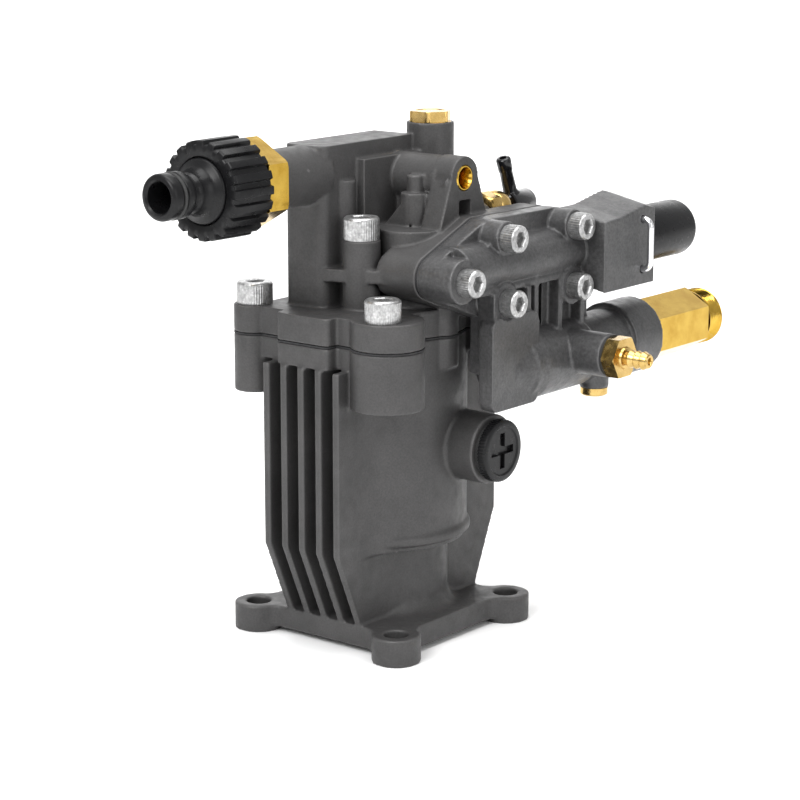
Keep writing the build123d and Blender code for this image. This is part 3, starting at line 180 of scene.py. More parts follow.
def thread_rings(major, minor, pitch, z0, z1):
    """Rings of a helical thread between two heights, run out to plain at both ends."""
    rings_per_turn = 8
    steps = int((z1 - z0) / pitch * rings_per_turn)
    rings = []
    for index in range(steps + 1):
        height = z0 + (z1 - z0) * index / steps
        fade = min(1.0, (height - z0) / pitch, (z1 - height) / pitch)

        def radius(angle, height=height, fade=fade):
            phase = (height / pitch - angle / (2 * pi)) % 1.0
            return major - (major - minor) * fade * (1 - abs(2 * phase - 1))

        rings.append((height, radius))
    return rings


def box_object(name, low, high):
    """Plain box, used only to build castings."""
    xs, ys, zs = zip(low, high)
    verts = [(x, y, z) for x in xs for y in ys for z in zs]
    faces = [(0, 1, 3, 2), (4, 6, 7, 5), (0, 4, 5, 1), (2, 3, 7, 6), (0, 2, 6, 4), (1, 5, 7, 3)]
    return make_object(name, verts, faces)


def rod_object(name, start, end, r0, r1=None, count=48):
    """Plain or tapered rod between two points, used only to build castings."""
    start, end = Vector(start), Vector(end)
    return revolved(name, [(0, r0), ((end - start).length, r0 if r1 is None else r1)],
                    frame_at(start, end - start), count)


def join(name, objects):
    """One object from several."""
    work = bmesh.new()
    for obj in objects:
        work.from_mesh(obj.data)
    mesh = bpy.data.meshes.new(name)
    work.to_mesh(mesh)
    work.free()
    for obj in objects:
        bpy.data.objects.remove(obj)
    joined = bpy.data.objects.new(name, mesh)
    bpy.context.scene.collection.objects.link(joined)
    return joined


def apply_modifiers(obj):
    """Makes the modifiers' result the object's own mesh."""
    graph = bpy.context.evaluated_depsgraph_get()
    mesh = bpy.data.meshes.new_from_object(obj.evaluated_get(graph))
    obj.modifiers.clear()
    obj.data = mesh
    return obj


def crisp(obj, width=0.15, angle=28):
    """Small bevel on sharp edges and smooth shading elsewhere."""
    if width:
        bevel = obj.modifiers.new("bevel", "BEVEL")
        bevel.width = width * MM
        bevel.segments = 2
        bevel.limit_method = "ANGLE"
        bevel.angle_limit = radians(angle)
        apply_modifiers(obj)
    obj.data.shade_smooth()
    obj.data.set_sharp_from_angle(angle=radians(angle + 10))
    return obj


def finish_piece(obj, material, body, slot, *nodes):
    """Gives a piece its material and body, and hides the CAD nodes that it stands for. The slot argument is
    not used.
    """
    obj.data.materials.clear()
    obj.data.materials.append(material)
    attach(obj, body)
    if nodes:
        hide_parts(*nodes)
    return obj


# ------------------------------------------------------------------ materials
def new_material(name):
    """Node material and its shader."""
    material = bpy.data.materials.new(name)
    material.use_nodes = True
    return material, material.node_tree, material.node_tree.nodes["Principled BSDF"]


def noise(tree, scale, detail=3.0, rough=0.55, stretch=(1, 1, 1)):
    """Noise on the object's own coordinates; scale is features per metre."""
    place = tree.nodes.new("ShaderNodeTexCoord")
    mapping = tree.nodes.new("ShaderNodeMapping")
    mapping.inputs["Scale"].default_value = stretch
    texture = tree.nodes.new("ShaderNodeTexNoise")
    texture.inputs["Scale"].default_value = scale
    texture.inputs["Detail"].default_value = detail
    texture.inputs["Roughness"].default_value = rough
    tree.links.new(place.outputs["Object"], mapping.inputs["Vector"])
    tree.links.new(mapping.outputs["Vector"], texture.inputs["Vector"])
    return texture.outputs["Fac"]


def ramp(tree, source, stops):
    """Colour ramp of (position, colour) stops."""
    node = tree.nodes.new("ShaderNodeValToRGB")
    elements = node.color_ramp.elements
    while len(elements) < len(stops):
        elements.new(0.5)
    for element, (position, colour) in zip(elements, stops):
        element.position = position
        element.color = (*colour, 1) if len(colour) == 3 else colour
    tree.links.new(source, node.inputs["Fac"])
    return node.outputs["Color"]


def grey(level):
    """Neutral colour."""
    return (level, level, level)


def blend_colours(tree, factor, first, second, mode="MIX"):
    """Mix of two colours; factor is a socket or a number."""
    node = tree.nodes.new("ShaderNodeMix")
    node.data_type = "RGBA"
    node.blend_type = mode
    factor_in, first_in, second_in = (node.inputs[index] for index in (0, 6, 7))
    for socket, source in ((factor_in, factor), (first_in, first), (second_in, second)):
        if isinstance(source, bpy.types.NodeSocket):
            tree.links.new(source, socket)
        else:
            socket.default_value = source
    return node.outputs[2]


def add_bump(tree, shader, heights, distance):
    """Chain of bumps from height sockets."""
    normal = None
    for height in heights:
        bump = tree.nodes.new("ShaderNodeBump")
        bump.inputs["Strength"].default_value = 1.0
        bump.inputs["Distance"].default_value = distance
        tree.links.new(height, bump.inputs["Height"])
        if normal is not None:
            tree.links.new(normal, bump.inputs["Normal"])
        normal = bump.outputs["Normal"]
    tree.links.new(normal, shader.inputs["Normal"])


def painted_edge_highlight(tree, colour, lighter):
    """Painted highlight: outer edges painted lighter, standing in for light catching them."""
    geometry = tree.nodes.new("ShaderNodeNewGeometry")
    highlight_mask = ramp(tree, geometry.outputs["Pointiness"], [(0.52, grey(0.0)), (0.60, grey(1.0))])
    return blend_colours(tree, highlight_mask, colour, (*lighter, 1))


def cast_paint(name, dark, light, grain, bump, rough=(0.42, 0.62), fleck=0.0):
    """Charcoal paint over a die casting, with the casting's grain showing through."""
    material, tree, shader = new_material(name)
    broad = noise(tree, 55, 4)
    fine = noise(tree, grain, 4, 0.65)
    colour = ramp(tree, broad, [(0.30, dark), (0.72, light)])
    speck = ramp(tree, fine, [(0.35, grey(0.72)), (0.68, grey(1.0 + fleck))])
    colour = blend_colours(tree, 1.0, colour, speck, "MULTIPLY")
    # painted highlight: the casting's outer edges are painted lighter
    colour = painted_edge_highlight(tree, colour, tuple(min(1.0, 1.55 * part) for part in light))
    tree.links.new(colour, shader.inputs["Base Color"])
    roughness = ramp(tree, noise(tree, 240, 4), [(0.3, grey(rough[0])), (0.7, grey(rough[1]))])
    tree.links.new(roughness, shader.inputs["Roughness"])
    shader.inputs["Metallic"].default_value = 0.25
    add_bump(tree, shader, [noise(tree, grain, 5, 0.7), noise(tree, grain * 0.28, 3)], bump * MM)
    return material


def machined(name, base, second, rough):
    """Machined or plated metal with faint marks and stains."""
    material, tree, shader = new_material(name)
    colour = ramp(tree, noise(tree, 130, 5, 0.6), [(0.32, second), (0.62, base)])
    tree.links.new(colour, shader.inputs["Base Color"])
    roughness = ramp(tree, noise(tree, 420, 4), [(0.3, grey(rough[0])), (0.7, grey(rough[1]))])
    tree.links.new(roughness, shader.inputs["Roughness"])
    shader.inputs["Metallic"].default_value = 1.0
    add_bump(tree, shader, [noise(tree, 900, 3)], 0.01 * MM)
    return material


def mottled_zinc(name):
    """Zinc plating with pale crystals and grey stains."""
    material, tree, shader = new_material(name)
    place = tree.nodes.new("ShaderNodeTexCoord")
    cells = tree.nodes.new("ShaderNodeTexVoronoi")
    cells.inputs["Scale"].default_value = 900
    tree.links.new(place.outputs["Object"], cells.inputs["Vector"])
    crystals = ramp(tree, cells.outputs["Distance"], [(0.0, grey(0.66)), (0.6, grey(0.46))])
    stain = ramp(tree, noise(tree, 500, 5, 0.7), [(0.35, grey(0.62)), (0.60, grey(1.0))])
    colour = blend_colours(tree, 1.0, crystals, stain, "MULTIPLY")
    tree.links.new(colour, shader.inputs["Base Color"])
    roughness = ramp(tree, noise(tree, 700, 4), [(0.3, grey(0.26)), (0.7, grey(0.46))])
    tree.links.new(roughness, shader.inputs["Roughness"])
    shader.inputs["Metallic"].default_value = 0.9
    add_bump(tree, shader, [noise(tree, 1600, 3)], 0.02 * MM)
    return material


def moulded(name, base, rough, grain=2200, bump=0.012, coat=0.0, specular=0.5):
    """Moulded plastic or rubber."""
    material, tree, shader = new_material(name)
    lighter = tuple(part * 1.35 for part in base)
    colour = ramp(tree, noise(tree, 160, 4), [(0.3, base), (0.75, lighter)])
    tree.links.new(colour, shader.inputs["Base Color"])
    roughness = ramp(tree, noise(tree, 300, 4), [(0.3, grey(rough[0])), (0.7, grey(rough[1]))])
    tree.links.new(roughness, shader.inputs["Roughness"])
    shader.inputs["Coat Weight"].default_value = coat
    shader.inputs["Specular IOR Level"].default_value = specular
    add_bump(tree, shader, [noise(tree, grain, 3)], bump * MM)
    return material


CASTING = cast_paint("charcoal_casting", (0.050, 0.049, 0.049), (0.070, 0.068, 0.068), 1500, 0.035)
MANIFOLD = cast_paint("charcoal_manifold", (0.043, 0.043, 0.044), (0.076, 0.075, 0.076), 900, 0.09,
                      (0.30, 0.50), 0.25)
BRASS = machined("polished_brass", (0.60, 0.39, 0.07), (0.47, 0.28, 0.035), (0.12, 0.22))
PALE_BRASS = machined("satin_brass", (0.62, 0.43, 0.16), (0.46, 0.30, 0.09), (0.18, 0.32))
ZINC = mottled_zinc("mottled_zinc")
STEEL = machined("ground_steel", (0.62, 0.62, 0.63), (0.48, 0.48, 0.50), (0.22, 0.36))
WIRE = machined("bright_wire", (0.80, 0.80, 0.82), (0.66, 0.66, 0.68), (0.10, 0.20))
CERAMIC = moulded("white_ceramic", (0.80, 0.79, 0.75), (0.06, 0.14), bump=0.002)
RUBBER = moulded("black_rubber", (0.016, 0.016, 0.016), (0.55, 0.75))
GASKET = moulded("gasket_sheet", (0.010, 0.010, 0.011), (0.60, 0.80))
PLASTIC = moulded("satin_black_plastic", (0.0055, 0.0055, 0.006), (0.24, 0.38), 2600, 0.015,
                  specular=0.22)
GLOSSY = moulded("gloss_black_plastic", (0.004, 0.004, 0.005), (0.06, 0.14), bump=0.003, coat=0.15,
                 specular=0.35)
ACETAL = moulded("pale_acetal", (0.70, 0.70, 0.65), (0.30, 0.45))
SLOT_MATERIAL = {
    "casting": CASTING, "manifold_casting": MANIFOLD, "brass": BRASS, "pale_brass": PALE_BRASS,
    "zinc_steel": ZINC, "steel": STEEL, "bright_wire": WIRE, "ceramic": CERAMIC, "rubber": RUBBER,
    "gasket": GASKET, "black_plastic": PLASTIC, "gloss_plastic": GLOSSY, "valve_plastic": ACETAL,
}


def dress_cad_nodes():
    """Every CAD node takes the material of its slot."""
    for node, name in SLOTS.items():
        for slot in NODES[node].material_slots:
            slot.material = SLOT_MATERIAL[name]


# ------------------------------------------------------------------ castings
def casting(name, node, additions, material, slot, voxel):
    """Copy of a CAD casting with its smaller features added, its edges rounded as a casting's are.
    The voxel's size is in millimetres."""
    copy = bpy.data.objects.new(name, NODES[node].data.copy())
    bpy.context.scene.collection.objects.link(copy)
    body = join(name, [copy] + additions)
    work = bmesh.new()
    work.from_mesh(body.data)
    bmesh.ops.remove_doubles(work, verts=work.verts, dist=WELD)
    work.to_mesh(body.data)
    work.free()
    remesh = body.modifiers.new("cast", "REMESH")
    remesh.mode = "VOXEL"
    remesh.voxel_size = voxel * MM
    smooth = body.modifiers.new("round", "SMOOTH")
    smooth.factor = 0.5
    smooth.iterations = 3
    apply_modifiers(body)
    body.data.shade_smooth()
    return finish_piece(body, material, "housing", slot, node)


def neck_fillet():
    """Cast fillet between the flange's top and the neck."""
    top, neck_r, inner_r, fillet_r = 10.0, 24.0, 19.0, 5
    profile = [(top - 0.5, inner_r), (top - 0.5, neck_r + fillet_r + 0.6)]
    for step in range(7):
        turn = pi / 2 * step / 6
        profile.append((top + fillet_r - fillet_r * cos(turn), neck_r + fillet_r - fillet_r * sin(turn)))
    profile.append((top + fillet_r, inner_r))
    return revolved("neck_fillet", profile, Matrix.Identity(4), 96, closed=True)


def barrel_lip():
    """Bead round the foot of the barrel."""
    profile = [(37.2, 28.5), (37.2, 31.6), (38.0, 32.3), (40.0, 32.3), (41.0, 31.4), (41.0, 28.5)]
    return revolved("barrel_lip", profile, Matrix.Identity(4), 120, closed=True)


def manifold_details():
    """Swelling of the manifold's gallery, its ledge and pocket ribs, and the unloader's shell."""
    x, z, swell_r = 41.0, 98.6, 13.2
    pieces = [rod_object("swelling", (x, 30, z), (x, 60, z), swell_r)]
    pieces.append(rod_object("swelling_end", (x, 14, z), (x, 30, z), 9.4, swell_r))
    pieces.append(box_object("ledge", (42, -8, 128.6), (48.2, 56, 131.0)))
    for y in (3.0, 23.0):
        pieces.append(box_object("pocket_rib", (42, y - 1.1, 112), (49.2, y + 1.1, 129)))
    shell = [(62, 10.0), (62, 12.2), (63, 12.8), (88.5, 12.8), (89.5, 12.2), (89.5, 10.0)]
    pieces.append(revolved("unloader_shell", shell, frame_at((44, 0, 137.6), ALONG_Y), 96, closed=True))
    return pieces


def build_castings():
    """Crankcase, pump head with the duct over its rear passage, and manifold."""
    casting("crankcase_casting", "crankcase", [neck_fillet(), barrel_lip()], CASTING, "casting", 0.6)
    duct = rod_object("duct", (-10.5, 14, 169.5), (0, 28, 169.5), 5.8)
    casting("head_casting", "pump_head", [duct], CASTING, "casting", 0.5)
    casting("manifold_body", "manifold", manifold_details(), MANIFOLD, "manifold_casting", 0.5)


# ------------------------------------------------------------------ screws
def socket_head(name, origin, way, head_r, head_h, key, shank_r, shank):
    """Socket head cap screw with a knurled head and a hexagonal socket."""
    knurls = int(head_r * 7)

    def knurl(angle):
        return head_r - 0.035 * head_r * abs(sin(knurls * angle / 2))

    socket = hex_radius(key)
    floor = head_h - head_h * 0.55
    rings = [(-shank, shank_r * 0.8), (-shank + 1, shank_r), (0, shank_r), (0, head_r * 0.96), (0.4, knurl),
             (head_h - 0.9, knurl), (head_h - 0.8, head_r * 0.985), (head_h - 0.5, head_r * 0.97),
             (head_h, head_r * 0.88), (head_h, lambda angle: socket(angle) * 1.12), (head_h - 0.35, socket),
             (floor, socket), (floor, key * 0.3), (floor - 0.6, 0.05)]
    return crisp(revolved(name, rings, frame_at(origin, way), 24 * (knurls // 4)), 0, 32)


def build_screws():
    """Bolts of the head and screws of the manifold, each at its CAD solid's place. Each line gives the
    axis, the head's radius and height, the socket's width and the shank's radius."""
    screws = {"head_bolts": ("head_bolt", 2, 6.5, 8.0, 6.0, 4.0),
              "manifold_screws": ("manifold_screw", 0, 5.0, 6.0, 5.0, 3.0)}
    for node, (name, axis, head_r, head_h, key, shank_r) in screws.items():
        way = [0, 0, 0]
        way[axis] = 1
        pieces = []
        for index, (low, high) in enumerate(solids_of(node), start=1):
            origin = (low + high) / 2
            origin[axis] = high[axis] - head_h
            shank = high[axis] - head_h - low[axis]
            pieces.append(socket_head(f"{name}_{index}", origin, way, head_r, head_h, key, shank_r, shank))
        for index, piece in enumerate(pieces):
            finish_piece(piece, ZINC, "housing", "zinc_steel", *([node] if index == 0 else []))


# ------------------------------------------------------------------ outlet side
def build_outlet():
    """Brass outlet: chamfered hexagon, neck, male thread and bore."""
    low, high = corners("outlet_fitting")
    x, z = (low[0] + high[0]) / 2, (low[2] + high[2]) / 2
    collar_y, hex_y = 102.0, 139.8
    bore, major, minor = 6.0, 11.0, 9.9
    rings = [(low[1], bore), (low[1], 9.0), (collar_y - 0.5, 9.0), (collar_y - 0.5, 10.4)]
    rings += hex_rings(22.0, collar_y + 0.6, hex_y, radians(30))
    rings += [(hex_y, minor - 0.4), (hex_y + 1.3, minor - 0.4)]
    rings += thread_rings(major, minor, 1.5, hex_y + 1.4, high[1] - 0.9)
    rings += [(high[1] - 0.3, minor + 0.3), (high[1], minor - 0.3), (high[1], bore + 1.6),
              (high[1] - 1.6, bore)]
    outlet = revolved("outlet_brass", rings, frame_at((x, 0, z), ALONG_Y), 144, closed=True)
    finish_piece(crisp(outlet, 0, 24), BRASS, "housing", "brass", "outlet_fitting")


def build_drain():
    """Plug under the gallery, with a hexagonal socket."""
    low, high = corners("drain_plug")
    mid = (low + high) / 2
    head_r = (high[0] - low[0]) / 2
    length, shank_r = high[2] - low[2], 3.5
    key = hex_radius(4.0)
    rings = [(0, key), (0, head_r - 0.7), (0.6, head_r), (3.0, head_r), (3.0, shank_r), (length, shank_r),
             (length, 0.1), (2.0, 0.1), (2.0, key)]
    axis = frame_at((mid[0], mid[1], low[2]), UPRIGHT)
    plug = revolved("drain_plug_brass", rings, axis, 72, closed=True)
    finish_piece(crisp(plug, 0), PALE_BRASS, "housing", "pale_brass", "drain_plug")


def build_injector():
    """Hose barb with rounded barbs, hexagon and bore."""
    low, high = corners("injector_barb")
    y, z = (low[1] + high[1]) / 2, (low[2] + high[2]) / 2
    seat, hex_end, chamber_end, tip = 67.0, 72.5, 64.2, high[0]
    chamber_r, stem_r, bore_r = 2.5, 2.6, 1.2
    pitch = (tip - hex_end) / 4
    rings = [(low[0], chamber_r), (low[0], 6.3), (seat, 6.3), (seat, 6.8)]
    rings += hex_rings(14.0, seat + 0.05, hex_end)
    rings += [(hex_end, 4.2), (hex_end + 0.8, 3.9), (hex_end + 1.0, stem_r)]
    for index in range(1, 4):
        foot = hex_end + pitch * index
        rings += [(foot - 0.15, stem_r), (foot, 3.3), (foot + 0.25, 3.4), (foot + pitch * 0.62, 2.75),
                  (foot + pitch * 0.8, stem_r)]
    rings += [(tip - 0.4, stem_r), (tip, 2.2), (tip, 1.5), (tip - 0.4, bore_r), (chamber_end, bore_r),
              (chamber_end, chamber_r)]
    barb = revolved("hose_barb", rings, frame_at((0, y, z), ALONG_X), 72, closed=True)
    finish_piece(crisp(barb, 0, 30), PALE_BRASS, "housing", "pale_brass", "injector_barb")


# ------------------------------------------------------------------ unloader
def build_unloader():
    """Knob with a domed end, and its threaded spindle."""
    low, high = corners("unloader_knob")
    x, z = (low[0] + high[0]) / 2, (low[2] + high[2]) / 2
    radius, y0, y1 = (high[0] - low[0]) / 2, low[1], high[1]
    dome, bore = 3.0, 8.1
    axis = frame_at((x, 0, z), ALONG_Y)
    rings = [(y0, bore), (y0, radius - 0.9), (y0 + 0.5, radius - 0.35), (y0 + 1.4, radius - 0.1),
             (y1 - dome - 8, radius - 0.05)]
    for step in range(9):
        turn = pi / 2 * step / 8
        rings.append((y1 - dome + dome * sin(turn), radius - dome + dome * cos(turn)))
    rings += [(y1, radius - dome - 3), (y1 - 0.35, radius - dome - 3.4), (y1 - 0.35, 0.3), (y1 - 3.9, 0.3),
              (y1 - 4, bore)]
    shell = revolved("knob_shell", rings, axis, 120, closed=True)
    rings = [(92.0, 2.1), (92.6, 2.5)] + thread_rings(2.5, 2.2, 1.0, 93.0, y1 - 4.2) + [(y1 - 3.95, 2.4)]
    spindle = revolved("spindle", rings, axis, 48)
    knob = join("unloader_knob_shell", [shell, spindle])
    finish_piece(crisp(knob, 0, 26), PLASTIC, "unloader_knob", "black_plastic", "unloader_knob")


# ------------------------------------------------------------------ inlet side
def inlet_axis():
    """Local +Z along the inlet, away from the pump, so that a height is a distance toward -Y."""
    low, high = corners("inlet_adapter")
    return frame_at(((low[0] + high[0]) / 2, 0, (low[2] + high[2]) / 2), (0, -1, 0))


def build_adapter():
    """Brass inlet adapter: hexagon, pipe thread and bore."""
    low, high = corners("inlet_adapter")
    back, hex_back, hex_front, thread_end = -high[1], 54.5, 64.5, -low[1]
    bore = 7.0
    rings = [(back, bore), (back, 8.0), (back + 0.5, 8.5), (hex_back - 0.1, 8.5), (hex_back - 0.1, 11.5)]
    rings += hex_rings(27.7, hex_back, hex_front, radians(30), 0.955)
    rings += [(hex_front, 11.9), (hex_front + 0.8, 11.9)]
    rings += thread_rings(12.9, 11.8, 2.209, hex_front + 0.9, thread_end - 0.6)
    rings += [(thread_end, 11.6), (thread_end, bore)]
    adapter = revolved("adapter_brass", rings, inlet_axis(), 144, closed=True)
    finish_piece(crisp(adapter, 0, 24), BRASS, "housing", "brass", "inlet_adapter")


def build_nut():
    """Ribbed nut that turns on the adapter."""
    low, high = corners("inlet_nut")
    n0, n1 = -high[1], -low[1]
    radius, mouth_r, bore = 17.3, 11.6, 13.2
    ribs, lip = 20, 4.0

    def toothed(inset):
        def reach(angle):
            wave = min(1.0, max(0.0, 0.5 + 1.9 * (cos(ribs * angle) + 0.25)))
            return radius - inset - 1.35 * (1 - wave)
        return reach

    rings = [(n0 + 0.6, 14.2), (n0, 14.8), (n0, toothed(0.7)), (n0 + 0.6, toothed(0.0)),
             (n1 - 0.9, toothed(0.15)), (n1 - 0.3, toothed(0.5)), (n1, toothed(1.1)), (n1, 12.2),
             (n1 - 0.5, mouth_r), (n1 - lip, mouth_r), (n1 - lip, bore), (n0 + 1.2, bore)]
    nut = revolved("ribbed_nut", rings, inlet_axis(), 480, closed=True)
    finish_piece(crisp(nut, 0, 34), PLASTIC, "inlet_nut", "black_plastic", "inlet_nut")


def build_nipple():
    """Plastic quick-connect nipple held by the nut."""
    low, high = corners("inlet_nipple")
    p0, tip = -high[1], -low[1]
    front = -corners("inlet_nut")[0][1] + 0.5
    bore, flange_r, lip_r, neck_r, ring_r = 5.4, 12.9, 11.3, 6.6, 8.0
    rings = [(p0, bore), (p0, flange_r), (p0 + 2.4, flange_r), (p0 + 2.4, lip_r), (front - 0.6, lip_r),
             (front, lip_r - 0.5)]
    for step in range(9):
        part = step / 8
        rings.append((front + 0.2 + 5.6 * part, lip_r - 0.8 - 3.4 * sqrt(1 - (1 - part) ** 2)))
    rings += [(front + 6.5, 6.75), (front + 7.2, neck_r), (front + 8.9, neck_r), (front + 9.2, 7.0),
              (front + 9.6, 7.9), (front + 10.0, ring_r), (front + 12.3, ring_r), (front + 12.7, 7.7),
              (front + 13.0, neck_r), (front + 15.0, neck_r), (front + 15.3, 7.7), (front + 15.6, ring_r),
              (tip - 1.2, ring_r), (tip - 0.5, 7.75), (tip, 7.1), (tip, 6.0), (tip - 0.6, bore)]
    nipple = revolved("quick_nipple", rings, inlet_axis(), 120, closed=True)
    finish_piece(crisp(nipple, 0, 34), PLASTIC, "inlet_coupling", "black_plastic", "inlet_nipple")


# ------------------------------------------------------------------ small fittings
def build_oil_plug():
    """Filler plug with a cross slot in a dished face and a knurled edge."""
    low, high = corners("oil_plug")
    mid = (low + high) / 2
    face, radius = high[0], (high[1] - low[1]) / 2
    seat, shank_r = face - 3.7, 7.9
    knurls = 60
    slot_half, slot_reach = 1.4, 6.5

    def edge(angle):
        return radius - 0.12 - 0.12 * cos(knurls * angle)

    rings = [(low[0], 0.2), (low[0], 7.2), (low[0] + 0.8, shank_r), (seat, shank_r), (seat, radius - 0.6),
             (seat + 0.4, edge), (face - 0.9, edge), (face - 0.4, radius - 0.25), (face, radius - 0.9),
             (face, radius - 2.4), (face - 0.5, radius - 2.9), (face - 0.5, 0.2)]
    plug = revolved("oil_plug_cap", rings, frame_at((0, mid[1], mid[2]), ALONG_X), 240)
    bars = []
    for across in ((slot_half, slot_reach), (slot_reach, slot_half)):
        bars.append(box_object("slot", (face - 2, mid[1] - across[0], mid[2] - across[1]),
                               (face + 1, mid[1] + across[0], mid[2] + across[1])))
    for bar in bars:
        boolean = plug.modifiers.new("slot", "BOOLEAN")
        boolean.operation = "DIFFERENCE"
        boolean.solver = "EXACT"
        boolean.object = bar
        apply_modifiers(plug)
        bpy.data.objects.remove(bar)
    finish_piece(crisp(plug, 0, 28), PLASTIC, "housing", "black_plastic", "oil_plug")


def build_cap():
    """Hexagonal brass cap of the rear tower."""
    low, high = corners("valve_cap")
    mid = (low + high) / 2
    head, shank_r = high[2] - 4.0, 5.9
    rings = [(low[2], 5.2), (low[2] + 0.6, shank_r), (head, shank_r), (head, 7.6)]
    rings += hex_rings(14.0, head + 0.05, high[2], crown=0.95)
    rings += [(high[2], 5.4), (high[2] - 0.25, 5.1)]
    cap = revolved("cap_brass", rings, frame_at((mid[0], mid[1], 0), UPRIGHT), 144)
    finish_piece(crisp(cap, 0, 24), PALE_BRASS, "housing", "pale_brass", "valve_cap")


def build_insert():
    """Threaded brass insert of the lug."""
    low, high = corners("lug_insert")
    mid = (low + high) / 2
    outer = (high[1] - low[1]) / 2
    rings = [(low[0], 2.5), (low[0], outer), (high[0] - 0.3, outer), (high[0], outer - 0.3), (high[0], 3.9),
             (high[0] - 0.5, 3.7), (high[0] - 2.6, 2.6)]
    insert = revolved("insert_brass", rings, frame_at((0, mid[1], mid[2]), ALONG_X), 72, closed=True)
    finish_piece(crisp(insert, 0, 30), BRASS, "housing", "brass", "lug_insert")


def build_relief():
    """Brass relief valve and the glossy elbow that swivels on it."""
    x, y0, z = 15.0, 40.0, 151.5
    axis = frame_at((x, 0, z), ALONG_Y)
    bulb_r, sleeve_r, sleeve_bore, sleeve_length = 6.2, 5.0, 2.9, 13
    low, high = corners("relief_fitting")
    rings = [(y0 - 0.5, 0.1), (y0 - 0.5, 4.6), (y0, 5.2)]
    rings += hex_rings(11.0, y0 + 0.3, y0 + 5.5, 0.3)
    for step in range(11):
        turn = -0.9 + 2.1 * step / 10
        rings.append((y0 + 8 + bulb_r * sin(turn), bulb_r * cos(turn)))
    rings += [(y0 + 14.0, 2.6), (high[1] - 0.5, 2.6), (high[1], 2.1)]
    body = revolved("relief_body", rings, axis, 96)
    stub = rod_object("relief_stub", (x, low[1], z - 3), (x, y0 + 1, z - 3), 4.2)
    body = join("relief_brass", [body, stub])
    finish_piece(crisp(body, 0, 30), PALE_BRASS, "housing", "pale_brass", "relief_fitting")
    start = y0 + 15
    end = start + sleeve_length
    rings = [(start, sleeve_bore), (start, 4.6), (start + 0.4, sleeve_r), (start + 12.2, sleeve_r),
             (start + 12.8, 4.6), (end, 3.9), (end, 0.2), (start + 11.5, 0.2), (start + 11.5, sleeve_bore)]
    sleeve = revolved("elbow_sleeve", rings, axis, 64, closed=True)
    lean = radians(20)
    way = Vector((0, -sin(lean), cos(lean)))
    foot = Vector((x, start + 4, z)) + way * 4.2
    tip = 14.7
    rings = [(0, 3.6), (0.8, 2.9), (1.6, 2.6), (tip - 5.4, 2.5), (tip - 5.0, 2.75), (tip - 0.8, 2.8),
             (tip - 0.3, 2.6), (tip, 2.2), (tip, 1.4), (tip - 4, 1.2)]
    tube = revolved("elbow_tube", rings, frame_at(foot, way), 48)
    elbow = join("relief_elbow_shell", [sleeve, tube])
    finish_piece(crisp(elbow, 0, 30), GLOSSY, "relief_elbow", "gloss_plastic", "relief_elbow")


# ------------------------------------------------------------------ springs
def build_springs():
    """Springs, each a copy of its CAD node's mesh fixed to the housing. Each line names the node, the
    joint, the axis, which end of the box stands still, and the travel."""
    springs = [("unloader_spring", "unloader_adjuster_slide", 1, 0, 3.0),
               ("injector_spring", "injector_ball_lift", 0, 0, 1.0)]
    for index in (1, 2, 3):
        springs.append((f"piston_spring_{index}", f"piston_{index}_stroke", 2, 1, 6.8))
        springs.append((f"inlet_spring_{index}", f"inlet_poppet_{index}_lift", 2, 0, 2.0))
        springs.append((f"outlet_spring_{index}", f"outlet_poppet_{index}_lift", 0, 1, 2.0))
    for node, joint, axis, still, travel in springs:
        ends = corners(node)
        anchor = centre(node)
        anchor[axis] = ends[still][axis]
        piece = bpy.data.objects.new(node + "_wire", NODES[node].data.copy())
        bpy.context.scene.collection.objects.link(piece)
        finish_piece(piece, SLOT_MATERIAL[SLOTS[node]], "housing", SLOTS[node], node)
        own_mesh(piece)


# ------------------------------------------------------------------ stage, light and camera
FLOOR_TURN = 38.66
CAMERA_TURN, CAMERA_DIP = 38.659, 12.804


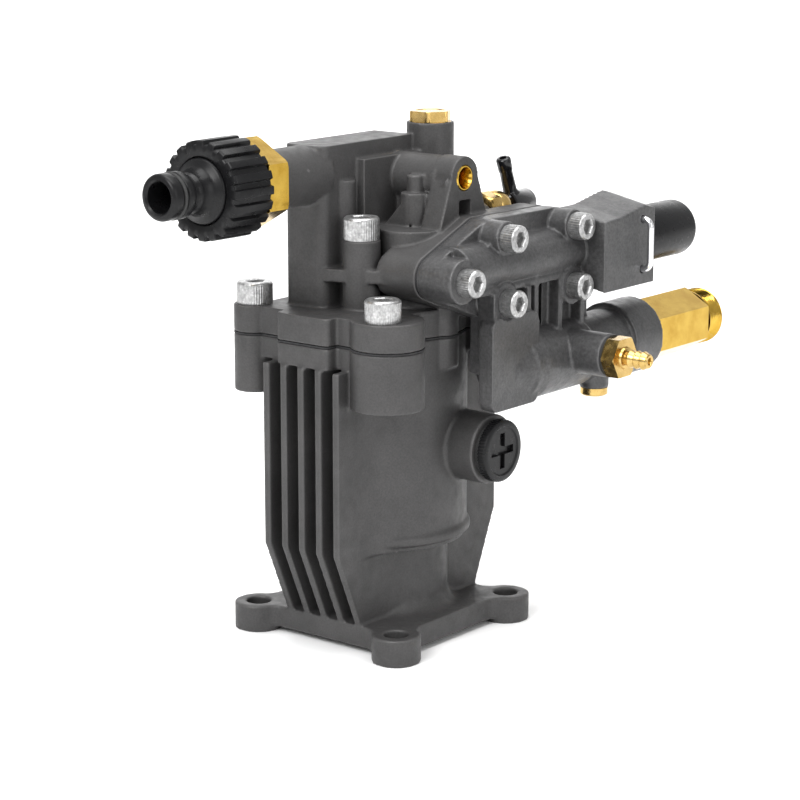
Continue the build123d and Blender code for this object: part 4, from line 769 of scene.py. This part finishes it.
def build_stage():
    """Pale floor that curves up behind, and the world's light, in metres."""
    run, rise, bend = 3.0, 3.0, 0.8
    profile = [(-run, 0.0), (run - bend, 0.0)]
    for step in range(1, 13):
        turn = pi / 2 * step / 12
        profile.append((run - bend + bend * sin(turn), bend - bend * cos(turn)))
    profile.append((run, rise))
    verts = [(side * run, along, height) for along, height in profile for side in (-1, 1)]
    faces = [(2 * i, 2 * i + 1, 2 * i + 3, 2 * i + 2) for i in range(len(profile) - 1)]
    mesh = bpy.data.meshes.new("sweep")
    mesh.from_pydata(verts, [], faces)
    mesh.shade_smooth()
    floor = bpy.data.objects.new("sweep", mesh)
    floor.rotation_euler = (0, 0, radians(FLOOR_TURN))
    bpy.context.scene.collection.objects.link(floor)
    material, tree, shader = new_material("pale_floor")
    shader.inputs["Base Color"].default_value = (0.96, 0.96, 0.96, 1)
    shader.inputs["Roughness"].default_value = 0.8
    mesh.materials.append(material)
    world = bpy.data.worlds.new("studio")
    world.use_nodes = True
    background = world.node_tree.nodes["Background"]
    background.inputs["Color"].default_value = (1.0, 1.0, 1.0, 1)
    background.inputs["Strength"].default_value = 0.62
    bpy.context.scene.world = world
    bpy.context.scene.view_settings.view_transform = "Standard"


def soft_light(name, place, target, size, power):
    """Square area light aimed at a point, in metres."""
    data = bpy.data.lights.new(name, "AREA")
    data.size = size
    data.energy = power
    lamp = bpy.data.objects.new(name, data)
    lamp.location = place
    lamp.rotation_euler = (Vector(target) - Vector(place)).to_track_quat("-Z", "Y").to_euler()
    bpy.context.scene.collection.objects.link(lamp)


def build_light():
    """Soft lights over and beside the pump, and one on the backdrop."""
    target = (0.0, 0.0, 0.11)
    soft_light("overhead", (0.0, 0.1, 1.7), target, 1.4, 26)
    soft_light("key", (0.15, -1.2, 1.1), target, 0.8, 18)
    soft_light("fill", (1.3, -0.2, 0.6), target, 0.8, 4)
    soft_light("backdrop", (-0.7, 0.9, 1.9), (-2.2, 2.7, 1.2), 1.2, 60)


def build_camera():
    """Long lens from the photo's side, a little above."""
    data = bpy.data.cameras.new("camera")
    data.sensor_width = 36.0
    data.lens = 112.7
    camera = bpy.data.objects.new("camera", data)
    camera.location = (0.56243, -0.69277, 0.28728)
    camera.rotation_euler = (radians(90 - CAMERA_DIP), 0, radians(CAMERA_TURN))
    bpy.context.scene.collection.objects.link(camera)
    bpy.context.scene.camera = camera


# ------------------------------------------------------------------ build
build_camera()
dress_cad_nodes()
build_castings()
build_screws()
build_outlet()
build_drain()
build_injector()
build_unloader()
build_adapter()
build_nut()
build_nipple()
build_oil_plug()
build_cap()
build_insert()
build_relief()
build_springs()
build_stage()
build_light()
bpy.context.view_layer.update()
